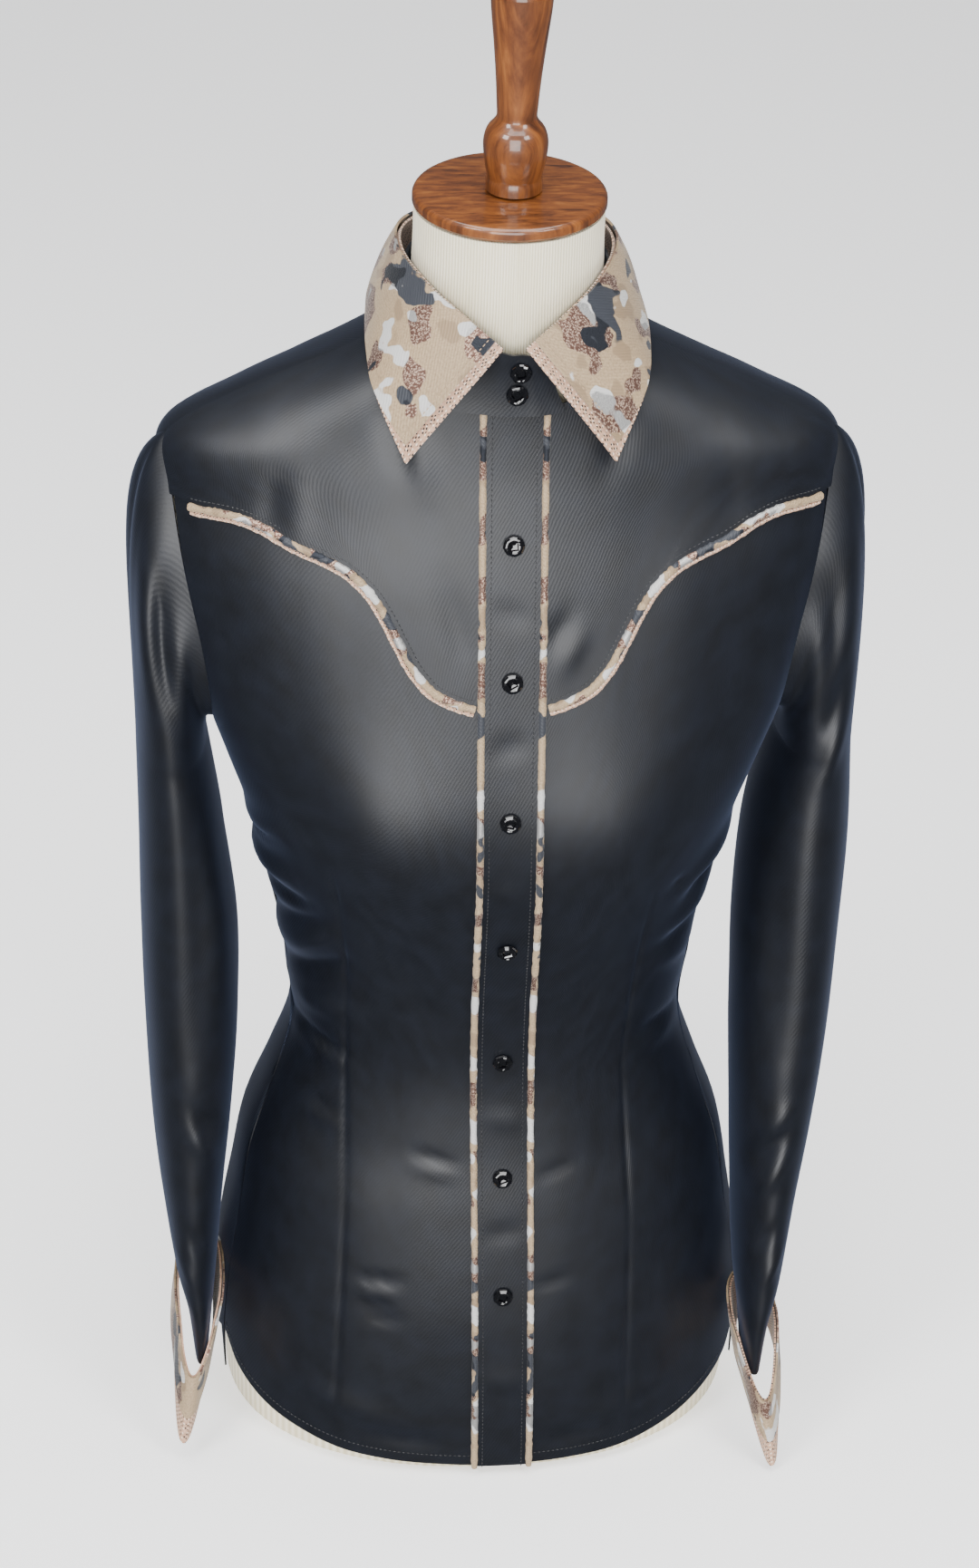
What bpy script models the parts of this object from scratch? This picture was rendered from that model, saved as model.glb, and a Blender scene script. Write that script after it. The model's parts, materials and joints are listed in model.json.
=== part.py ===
"""Western shirt on a limbless dress form.

Frame: metres, +Z up, the front of the shirt faces -Y, and the flat underside of the
dress form stands on z = 0. "left" and "right" are the viewer's, so left is -X.
Every cloth panel is a patch of one body surface, which is described by level sections.
"""
import math

import bmesh
import bpy
import numpy as np
from mathutils import Matrix, Vector

# ---------------------------------------------------------------- driving sizes (metres)
CLOTH = 0.0012              # wall of the satin, one layer with its seam allowance
PLACKET_WALL = 0.0018       # the placket is folded double
PLACKET_LIFT = 0.0006       # it lies this far off the body line
FORM_CLEARANCE = 0.0060     # the form lies this far inside the cloth
SHOULDER_CLEARANCE = 0.0080     # and this much more under the shoulder line
SEAM_GAP = 0.0006           # between neighbouring panels
PLACKET_HALF = 0.0152
PIPING_RADIUS = 0.0018
PIPING_LINE = 0.0175        # from the centre line to the middle of a placket piping
PANEL_EDGE = 0.0199         # from the centre line to the edge of a front panel
YOKE_PIPING_RADIUS = 0.0018
YOKE_CORD_RADIUS = 0.0012
YOKE_TRIM_GAP = 0.0020      # between a yoke edge and its piping, which it turns under
ARMHOLE_GAP = 0.0035        # the sleeve starts this far outside the edge of the body panels
UNDERARM_Z = 0.510
SHOULDER_Z = 0.696
BUST_X, BUST_Z, BUST_RISE = 0.078, 0.475, 0.011
BUST_WIDTH, BUST_HEIGHT = 0.050, 0.055
CAP_CENTRE = (0.000, -0.018)
CAP_RADIUS, CAP_BOTTOM, CAP_TOP = 0.054, 0.8385, 0.8465
BUTTON_RADIUS, BUTTON_HEIGHT = 0.0063, 0.0032
BUTTON_SHANK, STAND_BUTTON_LIFT = 0.0010, 0.0062
BUTTON_HEIGHTS = (0.661, 0.582, 0.498, 0.402, 0.304, 0.221, 0.141)
STAND_BUTTONS = ((0.0035, 0.7655), (0.0020, 0.7505))
CENTRE_SHIFT, CENTRE_SLANT, SLANT_TOP = 0.002, 0.014, 0.50     # the closing line slants below SLANT_TOP

# Level sections of the shirt's body. Front and back are distances from the plane y = 0.
BODY_COLUMNS = ("z", "half_width", "front", "back", "middle", "roundness")
BODY = np.array((
    (0.000, 0.1730, 0.1335, 0.1160, 0.000, 2.30),
    (0.060, 0.1730, 0.1320, 0.1220, 0.000, 2.30),
    (0.110, 0.1680, 0.1270, 0.1210, 0.000, 2.30),
    (0.150, 0.1610, 0.1200, 0.1130, 0.000, 2.30),
    (0.195, 0.1525, 0.1100, 0.1000, 0.000, 2.30),
    (0.240, 0.1365, 0.0990, 0.0860, 0.000, 2.20),
    (0.287, 0.1225, 0.0920, 0.0760, 0.000, 2.20),
    (0.330, 0.1255, 0.0940, 0.0780, 0.000, 2.20),
    (0.370, 0.1310, 0.1020, 0.0860, 0.000, 2.20),
    (0.410, 0.1400, 0.1130, 0.0940, 0.000, 2.20),
    (0.450, 0.1480, 0.1200, 0.1000, 0.000, 2.25),
    (0.490, 0.1610, 0.1200, 0.1050, 0.000, 2.30),
    (0.530, 0.1740, 0.1140, 0.1070, 0.000, 2.40),
    (0.580, 0.1865, 0.1040, 0.1060, 0.000, 2.40),
    (0.630, 0.1950, 0.0930, 0.1010, 0.000, 2.30),
    (0.670, 0.1970, 0.0830, 0.0890, 0.000, 2.00),
    (0.696, 0.1920, 0.0770, 0.0770, 0.000, 1.90),
    (0.717, 0.1580, 0.0735, 0.0680, -0.002, 1.85),
    (0.734, 0.1240, 0.0715, 0.0620, -0.005, 1.85),
    (0.748, 0.0950, 0.0705, 0.0590, -0.008, 1.90),
    (0.762, 0.0730, 0.0710, 0.0540, -0.011, 1.95),
    (0.780, 0.0620, 0.0735, 0.0480, -0.013, 2.00),
    (0.810, 0.0595, 0.0755, 0.0435, -0.016, 2.00),
    (0.840, 0.0590, 0.0770, 0.0410, -0.018, 2.00),
))

# Seams. Angles run round the body in degrees: 0 centre front, 90 side, 180 centre back.
SIDE_SEAM = ((0.000, 73), (0.150, 74), (0.290, 80), (0.400, 85), (UNDERARM_Z, 90))
ARMHOLE_FRONT = ((0.00, SHOULDER_Z, 81), (0.18, 0.672, 74), (0.40, 0.632, 69),
                 (0.62, 0.586, 67), (0.78, 0.550, 69), (0.90, 0.522, 76), (1.00, UNDERARM_Z, 90))
ARMHOLE_BACK = ((0.00, SHOULDER_Z, 81), (0.18, 0.676, 97), (0.40, 0.634, 108),
                (0.62, 0.586, 112), (0.78, 0.550, 110), (0.90, 0.522, 102), (1.00, UNDERARM_Z, 90))
NECKLINE = ((0, 0.740), (35, 0.745), (81, 0.764), (130, 0.771), (180, 0.772))     # angle, z
HEM = ((0, 0.008), (26, 0.011), (41, 0.018), (53, 0.026), (65, 0.038), (73, 0.052),
       (84, 0.040), (100, 0.020), (140, 0.010), (180, 0.010))
YOKE = (                    # lower edge of a front yoke, from the armhole: x, z
    (0.182, 0.6640), (0.155, 0.6665), (0.139, 0.6635), (0.122, 0.6565), (0.105, 0.6510),
    (0.090, 0.6440), (0.078, 0.6330), (0.069, 0.6190), (0.061, 0.6030), (0.053, 0.5885),
    (0.043, 0.5775), (0.030, 0.5710), (PIPING_LINE + 0.0024, 0.5680))

# Sleeves: level rings below the sleeve head. The columns are z, the outer and the inner distance from
# the centre plane, and the front and the back y.
SLEEVES = {
    "left": ((0.490, 0.2130, 0.1730, -0.056, 0.052), (0.430, 0.2130, 0.1640, -0.064, 0.050),
             (0.365, 0.2135, 0.1560, -0.071, 0.046), (0.300, 0.2125, 0.1575, -0.078, 0.038),
             (0.236, 0.2100, 0.1620, -0.084, 0.029), (0.184, 0.2060, 0.1670, -0.089, 0.019),
             (0.126, 0.1985, 0.1725, -0.094, 0.006), (0.100, 0.1915, 0.1755, -0.0955, -0.004),
             (0.066, 0.1870, 0.1790, -0.0945, -0.010)),
    "right": ((0.490, 0.2170, 0.1730, -0.056, 0.052), (0.430, 0.2190, 0.1590, -0.066, 0.050),
              (0.365, 0.2170, 0.1530, -0.076, 0.044), (0.300, 0.2130, 0.1540, -0.087, 0.032),
              (0.236, 0.2060, 0.1570, -0.098, 0.017), (0.184, 0.1980, 0.1590, -0.107, 0.002),
              (0.126, 0.1880, 0.1610, -0.117, -0.036), (0.100, 0.1810, 0.1640, -0.1195, -0.058),
              (0.066, 0.1765, 0.1675, -0.1200, -0.066)),
}
# Cuffs: extents of the top and bottom rims, and rim heights at the front, the sides and the back.
CUFFS = {
    "left": {"top": (0.1965, 0.1700, -0.1000, 0.0020), "bottom": (0.2060, 0.1850, -0.1140, 0.000),
             "top_z": (0.066, 0.102, 0.104), "bottom_z": (0.016, 0.070, 0.080)},
    "right": {"top": (0.1860, 0.1600, -0.1255, -0.0530), "bottom": (0.1940, 0.1750, -0.1400, -0.056),
              "top_z": (0.055, 0.094, 0.098), "bottom_z": (0.005, 0.058, 0.070)},
}
CUFF_LIFT = 0.0020          # the top leaf lies this far outside the under leaf
CUFF_TIER = 0.020           # the top leaf of a cuff ends this far above the point of the under leaf

# Collar, from the front edge to the centre back: the roll line x, y, z and the outer edge x, y, z.
COLLAR = np.array((
    (0.0062, -0.0785, 0.7790, 0.0590, -0.0790, 0.7090),
    (0.0255, -0.0700, 0.7935, 0.0745, -0.0610, 0.7410),
    (0.0450, -0.0520, 0.8050, 0.0780, -0.0370, 0.7570),
    (0.0590, -0.0170, 0.8110, 0.0765, -0.0060, 0.7670),
    (0.0560, 0.0180, 0.8110, 0.0700, 0.0290, 0.7690),
    (0.0340, 0.0440, 0.8080, 0.0430, 0.0560, 0.7700),
    (0.0000, 0.0530, 0.8070, 0.0000, 0.0670, 0.7700),
))
COLLAR_BULGE = 0.002
COLLAR_LIFT = 0.0026
COLLAR_STRIP = 0.0058       # the under leaf shows this much past the top leaf

SATIN = ("black satin", (0.006, 0.007, 0.011), 0.38, 0.0)
BROCADE = ("tan brocade", (0.33, 0.23, 0.15), 0.55, 0.1)
UNDER_BROCADE = ("pink beige brocade", (0.45, 0.29, 0.20), 0.60, 0.0)
JERSEY = ("cream ribbed jersey", (0.84, 0.78, 0.62), 0.90, 0.0)
WOOD = ("varnished wood", (0.25, 0.09, 0.03), 0.25, 0.0)
BUTTON_BLACK = ("glossy black button", (0.004, 0.004, 0.005), 0.08, 0.0)


# ---------------------------------------------------------------- scene and objects
def clear_scene():
    for item in list(bpy.data.objects):
        bpy.data.objects.remove(item, do_unlink=True)


def material(finish):
    name, colour, roughness, metallic = finish
    found = bpy.data.materials.get(name)
    if found:
        return found
    made = bpy.data.materials.new(name)
    made.use_nodes = True
    shader = made.node_tree.nodes["Principled BSDF"]
    shader.inputs["Base Color"].default_value = (*colour, 1.0)
    shader.inputs["Roughness"].default_value = roughness
    shader.inputs["Metallic"].default_value = metallic
    return made


def add_object(name, data, finish):
    data.materials.append(material(finish))
    made = bpy.data.objects.new(name, data)
    shirt_parts.objects.link(made)
    return made


def sheet_mesh(name, rows, closed=False):
    """Mesh of a grid of points; a closed sheet joins its last column to its first."""
    columns = len(rows[0])
    mesh = bpy.data.meshes.new(name)
    faces = []
    for row in range(len(rows) - 1):
        for column in range(columns if closed else columns - 1):
            after = (column + 1) % columns
            faces.append((row * columns + column, row * columns + after,
                          (row + 1) * columns + after, (row + 1) * columns + column))
    mesh.from_pydata([tuple(point) for row in rows for point in row], [], faces)
    mesh.update()
    return mesh


def add_cloth(name, rows, finish, closed=False, wall=CLOTH):
    """A sheet given its wall on the side its faces point to."""
    made = add_object(name, sheet_mesh(name, rows, closed), finish)
    made.data.shade_smooth()
    shell = made.modifiers.new("wall", "SOLIDIFY")
    shell.thickness = wall
    shell.offset = 1.0
    shell.use_even_offset = False
    return made


# ---------------------------------------------------------------- the body surface
def smooth_value(xs, ys, x):
    """Smooth curve through a short table, read at x."""
    low = int(np.clip(np.searchsorted(xs, x) - 1, 0, len(xs) - 2))
    step = xs[low + 1] - xs[low]
    part = (x - xs[low]) / step

    def slope(index):
        before, after = max(index - 1, 0), min(index + 1, len(xs) - 1)
        return (ys[after] - ys[before]) / (xs[after] - xs[before]) * step

    return ((2 * part**3 - 3 * part**2 + 1) * ys[low] + (part**3 - 2 * part**2 + part) * slope(low)
            + (3 * part**2 - 2 * part**3) * ys[low + 1] + (part**3 - part**2) * slope(low + 1))


def table_value(rows, key, column=1):
    """Column of a table of rows, read at a value of its first column."""
    table = np.array(rows, dtype=float)
    return smooth_value(table[:, 0], table[:, column], key)


def section(z):
    return [smooth_value(BODY[:, 0], BODY[:, column], z) for column in range(1, len(BODY_COLUMNS))]


def skin_point(angle, z):
    """Point of the body surface at an angle round it and a height."""
    half, front, back, middle, roundness = section(z)
    sine, cosine = math.sin(math.radians(angle)), math.cos(math.radians(angle))
    power = 2.0 / roundness
    x = half * math.copysign(abs(sine) ** power, sine)
    if cosine < 0:
        return np.array((x, middle + (back - middle) * abs(cosine) ** power, z))
    rise = sum(math.exp(-((x - side * BUST_X) / BUST_WIDTH) ** 2 - ((z - BUST_Z) / BUST_HEIGHT) ** 2)
               for side in (-1, 1))
    return np.array((x, middle - (front + middle) * abs(cosine) ** power - BUST_RISE * rise, z))


def skin_normal(angle, z):
    step_angle, step_z = 1.0, 0.002
    across = skin_point(angle + step_angle, z) - skin_point(angle - step_angle, z)
    upward = skin_point(angle, z + step_z) - skin_point(angle, z - step_z)
    outward = np.cross(across, upward)
    return outward / np.linalg.norm(outward)


def skin(place, lift=0.0):
    """Body point at (angle, z), moved outward by lift."""
    angle, z = place
    return skin_point(angle, z) + skin_normal(angle, z) * lift


def front_angle(x, z):
    """Angle at which the front of the body has the given x."""
    half, roundness = section(z)[0], section(z)[4]
    return math.copysign(math.degrees(math.asin(min(1.0, abs(x) / half) ** (roundness / 2))), x)


# ---------------------------------------------------------------- seam lines, as (angle, z) of t
def armhole(table, side):
    def line(t):
        return side * table_value(table, t, 2), table_value(table, t, 1)
    return line


def neckline(angle):
    return angle, table_value(NECKLINE, abs(angle))


def hem(angle):
    return angle, table_value(HEM, abs(angle))


def yoke_edge(side, drop=0.0):
    """Yoke line from the armhole (t = 0) to the placket (t = 1), lowered along the cloth by drop."""
    lengths = np.concatenate(([0], np.cumsum(np.hypot(*np.diff(np.array(YOKE), axis=0).T))))
    lengths = lengths / lengths[-1]
    xs, zs = np.array(YOKE).T

    def line(t):
        x, z = smooth_value(lengths, xs, t), smooth_value(lengths, zs, t)
        before, after = max(0.0, t - 0.02), min(1.0, t + 0.02)
        ahead = [smooth_value(lengths, row, after) - smooth_value(lengths, row, before) for row in (xs, zs)]
        normal = skin_normal(front_angle(x, z), z)
        upright = math.hypot(normal[0], normal[1])
        slant = abs(normal[1]) / upright
        across, upward = ahead[0] / slant, ahead[1] / upright
        run = math.hypot(across, upward)
        x -= drop * slant * upward / run
        z += drop * upright * across / run
        return front_angle(side * x + closing_line(z), z), z
    return line


def closing_line(z):
    """x of the middle of the placket."""
    return CENTRE_SHIFT + CENTRE_SLANT * max(0.0, SLANT_TOP - z)


def placket_edge(side, low, high, offset=PANEL_EDGE):
    def line(t):
        z = low + (high - low) * t
        return front_angle(closing_line(z) + side * offset, z), z
    return line


def panel(bottom, top, first, last, columns, rows):
    """Grid of (angle, z) inside four edge lines, each a function of 0..1."""
    grid = []
    for row in range(rows + 1):
        v = row / rows
        line = []
        for column in range(columns + 1):
            u = column / columns
            place = [(1 - v) * bottom(u)[k] + v * top(u)[k] + (1 - u) * first(v)[k] + u * last(v)[k]
                     - (1 - u) * (1 - v) * bottom(0)[k] - u * (1 - v) * bottom(1)[k]
                     - (1 - u) * v * top(0)[k] - u * v * top(1)[k] for k in (0, 1)]
            line.append(tuple(place))
        grid.append(line)
    return grid


def add_panel(name, grid, finish, lift=0.0, wall=CLOTH):
    """Cloth panel; the grid runs towards +X, so its faces point away from the body."""
    return add_cloth(name, [[skin(place, lift) for place in line] for line in grid], finish, wall=wall)


# ---------------------------------------------------------------- dress form
def add_form():
    columns = 32
    heights = np.concatenate((np.linspace(0.0, 0.64, 15), np.linspace(0.665, 0.838, 10)))
    rows = []
    for z in heights:
        inset = FORM_CLEARANCE + SHOULDER_CLEARANCE * math.exp(-((z - 0.72) / 0.03) ** 2)
        rows.append([skin((360 * k / columns, z), -inset) for k in range(columns)])
        for point in rows[-1]:
            point[2] = z
    form = sheet_mesh("form_torso", rows, closed=True)
    shape = bmesh.new()
    shape.from_mesh(form)
    bmesh.ops.holes_fill(shape, edges=[edge for edge in shape.edges if edge.is_boundary])
    bmesh.ops.recalc_face_normals(shape, faces=shape.faces)
    shape.to_mesh(form)
    shape.free()
    form.shade_smooth()
    form.set_sharp_from_angle(angle=math.radians(50))
    add_object("form_torso", form, JERSEY)


def add_turned(name, profile, centre, lean=0.0, steps=28):
    """A turned piece: its outline of (radius, z) runs from the top to the bottom."""
    base = profile[-1][1]
    mesh = bpy.data.meshes.new(name)
    points = [(radius, 0.0, z - base) for radius, z in profile]
    mesh.from_pydata(points, [(k, k + 1) for k in range(len(points) - 1)], [])
    made = add_object(name, mesh, WOOD)
    screw = made.modifiers.new("turn", "SCREW")
    screw.steps = steps
    screw.render_steps = steps
    screw.use_merge_vertices = True
    screw.merge_threshold = 0.00005
    screw.use_smooth_shade = True
    made.location = (*centre, base)
    made.rotation_euler = (0.0, lean, 0.0)


def add_wood():
    edge = 0.003
    cap = [(0.0, CAP_TOP), (CAP_RADIUS - edge, CAP_TOP)]
    cap += [(CAP_RADIUS - edge + edge * math.sin(a), CAP_TOP - edge + edge * math.cos(a))
            for a in np.radians((30, 60, 90))]
    cap += [(CAP_RADIUS, CAP_BOTTOM + 0.002), (CAP_RADIUS - 0.002, CAP_BOTTOM), (0.0, CAP_BOTTOM)]
    add_turned("neck_cap", cap, CAP_CENTRE)
    foot = CAP_TOP + 0.0012
    finial = [(0.0, 0.974), (0.009, 0.9725), (0.0150, 0.968), (0.0172, 0.961), (0.0165, 0.951),
              (0.0142, 0.930), (0.0124, 0.911), (0.0113, 0.895), (0.0112, 0.8895), (0.0128, 0.8868),
              (0.0160, 0.8828), (0.0178, 0.8765), (0.0177, 0.870), (0.0166, 0.862), (0.0152, 0.8555),
              (0.0158, 0.8525), (0.0158, foot), (0.0, foot)]
    add_turned("finial", finial, (CAP_CENTRE[0] + 0.002, CAP_CENTRE[1]), lean=math.radians(0.8))


# ---------------------------------------------------------------- body panels
def add_back():
    """Back from side seam to side seam, with the armholes and the back neck cut out."""
    underarm = 0.5          # share of the panel's height below the underarm

    def edge(side):
        def line(t):
            if t <= underarm:
                z = hem(100)[1] + (UNDERARM_Z - hem(100)[1]) * t / underarm
                return 180 + side * (180 - table_value(SIDE_SEAM, z) - 0.25), z
            step = 1 - (t - underarm) / (1 - underarm)
            angle, z = armhole(ARMHOLE_BACK, 1)(step)
            return 180 + side * (180 - angle - 0.4), z
        return line

    def bottom(u):
        angle = edge(-1)(0)[0] + (edge(1)(0)[0] - edge(-1)(0)[0]) * u
        return angle, hem(180 - abs(180 - angle))[1] if 0 < u < 1 else edge(1)(0)[1]

    def top(u):
        shoulder = 0.3      # share of the top edge along each shoulder seam
        side = -1 if u < 0.5 else 1
        reach = min(u, 1 - u) / shoulder
        seam = 81 + 0.8
        if reach <= 1:
            z = SHOULDER_Z + (neckline(81)[1] - SHOULDER_Z) * reach
            return 180 + side * (180 - seam), z
        share = (0.5 - min(u, 1 - u)) / (0.5 - shoulder)
        return 180 + side * (180 - seam) * share, neckline(180 - (180 - seam) * share)[1]

    grid = panel(bottom, top, edge(-1), edge(1), 16, 20)
    add_panel("back", grid, SATIN)


def add_fronts():
    """Lower fronts, from the hem to the yoke line, and the yokes above them."""
    trim = YOKE_PIPING_RADIUS * 2 + YOKE_CORD_RADIUS * 2 + YOKE_TRIM_GAP + 3 * SEAM_GAP
    meet = 0.225            # where the yoke line reaches the armhole, as a share down the armhole
    for side, name in ((-1, "left"), (1, "right")):
        yoke_line, lower_line = yoke_edge(side), yoke_edge(side, trim)
        front_armhole = armhole(ARMHOLE_FRONT, side)
        underarm = 0.70

        def outer(t):
            if t <= underarm:
                z = hem(73)[1] + (UNDERARM_Z - hem(73)[1]) * t / underarm
                return side * (table_value(SIDE_SEAM, z) - 0.25), z
            step = 1 - (t - underarm) / (1 - underarm) * (1 - meet)
            angle, z = front_armhole(step)
            return angle - side * 0.4, z - (z - lower_line(0)[1]) * ((t - underarm) / (1 - underarm)) ** 6

        def inner(t):
            return placket_edge(side, hem(0)[1], lower_line(1)[1])(t)

        def bottom(u):
            angle = outer(0)[0] + (inner(0)[0] - outer(0)[0]) * u
            return angle, hem(angle)[1]

        def top(u):
            if u == 0:
                return outer(1)
            if u == 1:
                return inner(1)
            return lower_line(u)

        grid = panel(bottom, top, outer, inner, 16, 12)
        if side > 0:
            grid = [line[::-1] for line in grid]
        add_panel(f"front_{name}", grid, SATIN)

        def yoke_outer(t):
            angle, z = front_armhole(meet * (1 - t))
            start = yoke_line(0)
            return angle - side * 0.4, z + (start[1] - z) * (1 - t) ** 6

        def yoke_inner(t):
            top_z = neckline(9)[1] - SEAM_GAP
            return placket_edge(side, yoke_line(1)[1], top_z)(t)

        def yoke_bottom(u):
            if u == 0:
                return yoke_outer(0)
            if u == 1:
                return yoke_inner(0)
            return yoke_line(u)

        def yoke_top(u):
            shoulder = 0.45
            seam = 81 - 0.8
            if u <= shoulder:
                z = SHOULDER_Z + (neckline(81)[1] - SHOULDER_Z) * u / shoulder
                corner = front_armhole(0)[0] - side * 0.4
                return corner + (side * seam - corner) * min(1, 4 * u / shoulder), z
            share = (u - shoulder) / (1 - shoulder)
            angle = seam + (abs(yoke_inner(1)[0]) - seam) * share
            return side * angle, neckline(angle)[1] - SEAM_GAP * share
        grid = panel(yoke_bottom, yoke_top, yoke_outer, yoke_inner, 26, 5)
        if side > 0:
            grid = [line[::-1] for line in grid]
        add_panel(f"yoke_{name}", grid, SATIN)


# ---------------------------------------------------------------- placket and pipings
def add_placket():
    low, high = hem(0)[1], neckline(0)[1] - SEAM_GAP
    left = placket_edge(-1, low, high, PLACKET_HALF)
    right = placket_edge(1, low, high, PLACKET_HALF)
    middle = placket_edge(1, low, high, 0.0)
    grid = [[left(row / 24), middle(row / 24), right(row / 24)] for row in range(25)]
    add_panel("placket", grid, SATIN, lift=PLACKET_LIFT, wall=PLACKET_WALL)


def add_tube(name, points, radius, finish, detail=2):
    """A round piping along a line of points, with filled ends."""
    curve = bpy.data.curves.new(name, "CURVE")
    curve.dimensions = "3D"
    curve.bevel_depth = radius
    curve.bevel_resolution = detail
    curve.use_fill_caps = True
    spline = curve.splines.new("POLY")
    spline.points.add(len(points) - 1)
    for spot, point in zip(spline.points, points):
        spot.co = (*point, 1.0)
    add_object(name, curve, finish)


def add_pipings():
    low, high = hem(0)[1] - 0.001, neckline(0)[1] - 0.002
    for side, name in ((-1, "left"), (1, "right")):
        line = placket_edge(side, low, high, PIPING_LINE)
        points = [skin(line(k / 20), 0.0010) for k in range(21)]
        add_tube(f"placket_piping_{name}", points, PIPING_RADIUS, BROCADE)
        upper = yoke_edge(side, YOKE_PIPING_RADIUS + YOKE_TRIM_GAP)
        lower = yoke_edge(side, 2 * YOKE_PIPING_RADIUS + YOKE_CORD_RADIUS + YOKE_TRIM_GAP + SEAM_GAP)
        steps = [0.018 + 0.970 * k / 26 for k in range(27)]
        points = [skin(upper(t), 0.0012) for t in steps]
        add_tube(f"yoke_piping_{name}", points, YOKE_PIPING_RADIUS, BROCADE)
        points = [skin(lower(t), 0.0008) for t in steps]
        add_tube(f"yoke_cord_{name}", points, YOKE_CORD_RADIUS, UNDER_BROCADE, detail=1)


# ---------------------------------------------------------------- sleeves and cuffs
def ring(side, outer, inner, front, back, z, turn):
    """Point of a level oval: turn 0 is outermost, 90 front, 180 innermost, 270 back."""
    angle = math.radians(turn)
    x = (outer + inner) / 2 + (outer - inner) / 2 * math.cos(angle)
    y = (front + back) / 2 - (back - front) / 2 * math.sin(angle)
    return np.array((side * x, y, z))


def armhole_point(side, turn):
    """Where the sleeve starts, just outside the edge of the body panels."""
    table = ARMHOLE_FRONT if turn <= 180 else ARMHOLE_BACK
    share = turn / 180 if turn <= 180 else (360 - turn) / 180
    angle, z = armhole(table, side)(share)
    return skin((angle, z)) + np.array((side * ARMHOLE_GAP, 0.0, 0.0))


def add_sleeves():
    columns = 18
    head_rows = (0.0, 0.13, 0.30, 0.52, 0.78)
    for side, name in ((-1, "left"), (1, "right")):
        table = SLEEVES[name]
        rows = []
        for t in head_rows:
            line = []
            for column in range(columns):
                turn = 360 * column / columns
                start = armhole_point(side, turn)
                end = ring(side, *table[0][1:], table[0][0], turn)
                reach = np.linalg.norm(end - start)
                leave = np.array((side * 0.66, 0.0, 0.10)) * reach
                arrive = np.array((0.0, 0.0, -0.9)) * reach
                line.append((2 * t**3 - 3 * t**2 + 1) * start + (t**3 - 2 * t**2 + t) * leave
                            + (3 * t**2 - 2 * t**3) * end + (t**3 - t**2) * arrive)
            rows.append(line)
        for z, outer, inner, front, back in table:
            rows.append([ring(side, outer, inner, front, back, z, 360 * column / columns)
                         for column in range(columns)])
        if side > 0:
            rows = [line[::-1] for line in rows]
        add_cloth(f"sleeve_{name}", rows[::-1], SATIN, closed=True)


def rim_height(heights, turn):
    """Height of a cuff rim: lowest in a rounded point at the front, level at the back."""
    front, sides, back = heights
    forward = math.sin(math.radians(turn))
    if forward > 0:
        return sides + (front - sides) * forward ** 2.2
    return sides + (back - sides) * -forward


def add_cuffs():
    columns, bands = 18, 3
    for side, name in ((-1, "left"), (1, "right")):
        sizes = CUFFS[name]
        front, sides, back = sizes["bottom_z"]
        leaves = (("under", 0.0, (front, sides, back), UNDER_BROCADE),
                  ("top", CUFF_LIFT, (front + CUFF_TIER, sides + 0.005, back + 0.004), BROCADE))
        for leaf, lift, bottom, finish in leaves:
            rows = []
            for band in range(bands + 1):
                v = band / bands
                line = []
                for column in range(columns):
                    turn = 360 * column / columns
                    top_z, bottom_z = rim_height(sizes["top_z"], turn), rim_height(bottom, turn)
                    z = top_z + (bottom_z - top_z) * v
                    down = (sizes["top_z"][1] - z) / (sizes["top_z"][1] - front)
                    spread = [a + (b - a) * down for a, b in zip(sizes["top"], sizes["bottom"])]
                    grow = np.array((lift, -lift, -lift, lift))
                    line.append(ring(side, *(np.array(spread) + grow), z, turn))
                rows.append(line)
            if side > 0:
                rows = [line[::-1] for line in rows]
            add_cloth(f"cuff_{leaf}_{name}", rows[::-1], finish, closed=True)


# ---------------------------------------------------------------- collar
def collar_point(station, down, lift=0.0):
    """Point of the collar leaf: station -1..1 from the left front edge to the right one, 0 at the back;
    down 0 at the roll line, 1 at the outer edge."""
    place = 1 - abs(station)
    stations = np.linspace(0, 1, len(COLLAR))
    values = [smooth_value(stations, COLLAR[:, k], place) for k in range(6)]
    roll, edge = np.array(values[:3]), np.array(values[3:])
    point = roll + (edge - roll) * down
    away = np.array((point[0], point[1] + 0.018, 0.0))
    away = away / np.linalg.norm(away)
    point = point + away * (COLLAR_BULGE * 4 * down * (1 - down) + lift)
    point[2] += lift * 0.6
    if station > 0:
        return point
    return point * np.array((-1.0, 1.0, 1.0))


def add_collar():
    columns, bands = 24, 3
    for name, lift, finish in (("under", 0.0, UNDER_BROCADE), ("top", COLLAR_LIFT, BROCADE)):
        rows = []
        for band in range(bands + 1):
            down = band / bands
            line = []
            for column in range(columns + 1):
                station = -1 + 2 * column / columns
                reach = down
                if name == "top":
                    gap = np.linalg.norm(collar_point(1, down) - collar_point(0.95, down)) / 0.05
                    station *= 1 - COLLAR_STRIP / gap
                    reach = down * (1 - 0.085 * abs(station) ** 6 - 0.01)
                line.append(collar_point(station, reach, lift))
            rows.append(line)
        add_cloth(f"collar_{name}", [line[::-1] for line in rows], finish)


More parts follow.
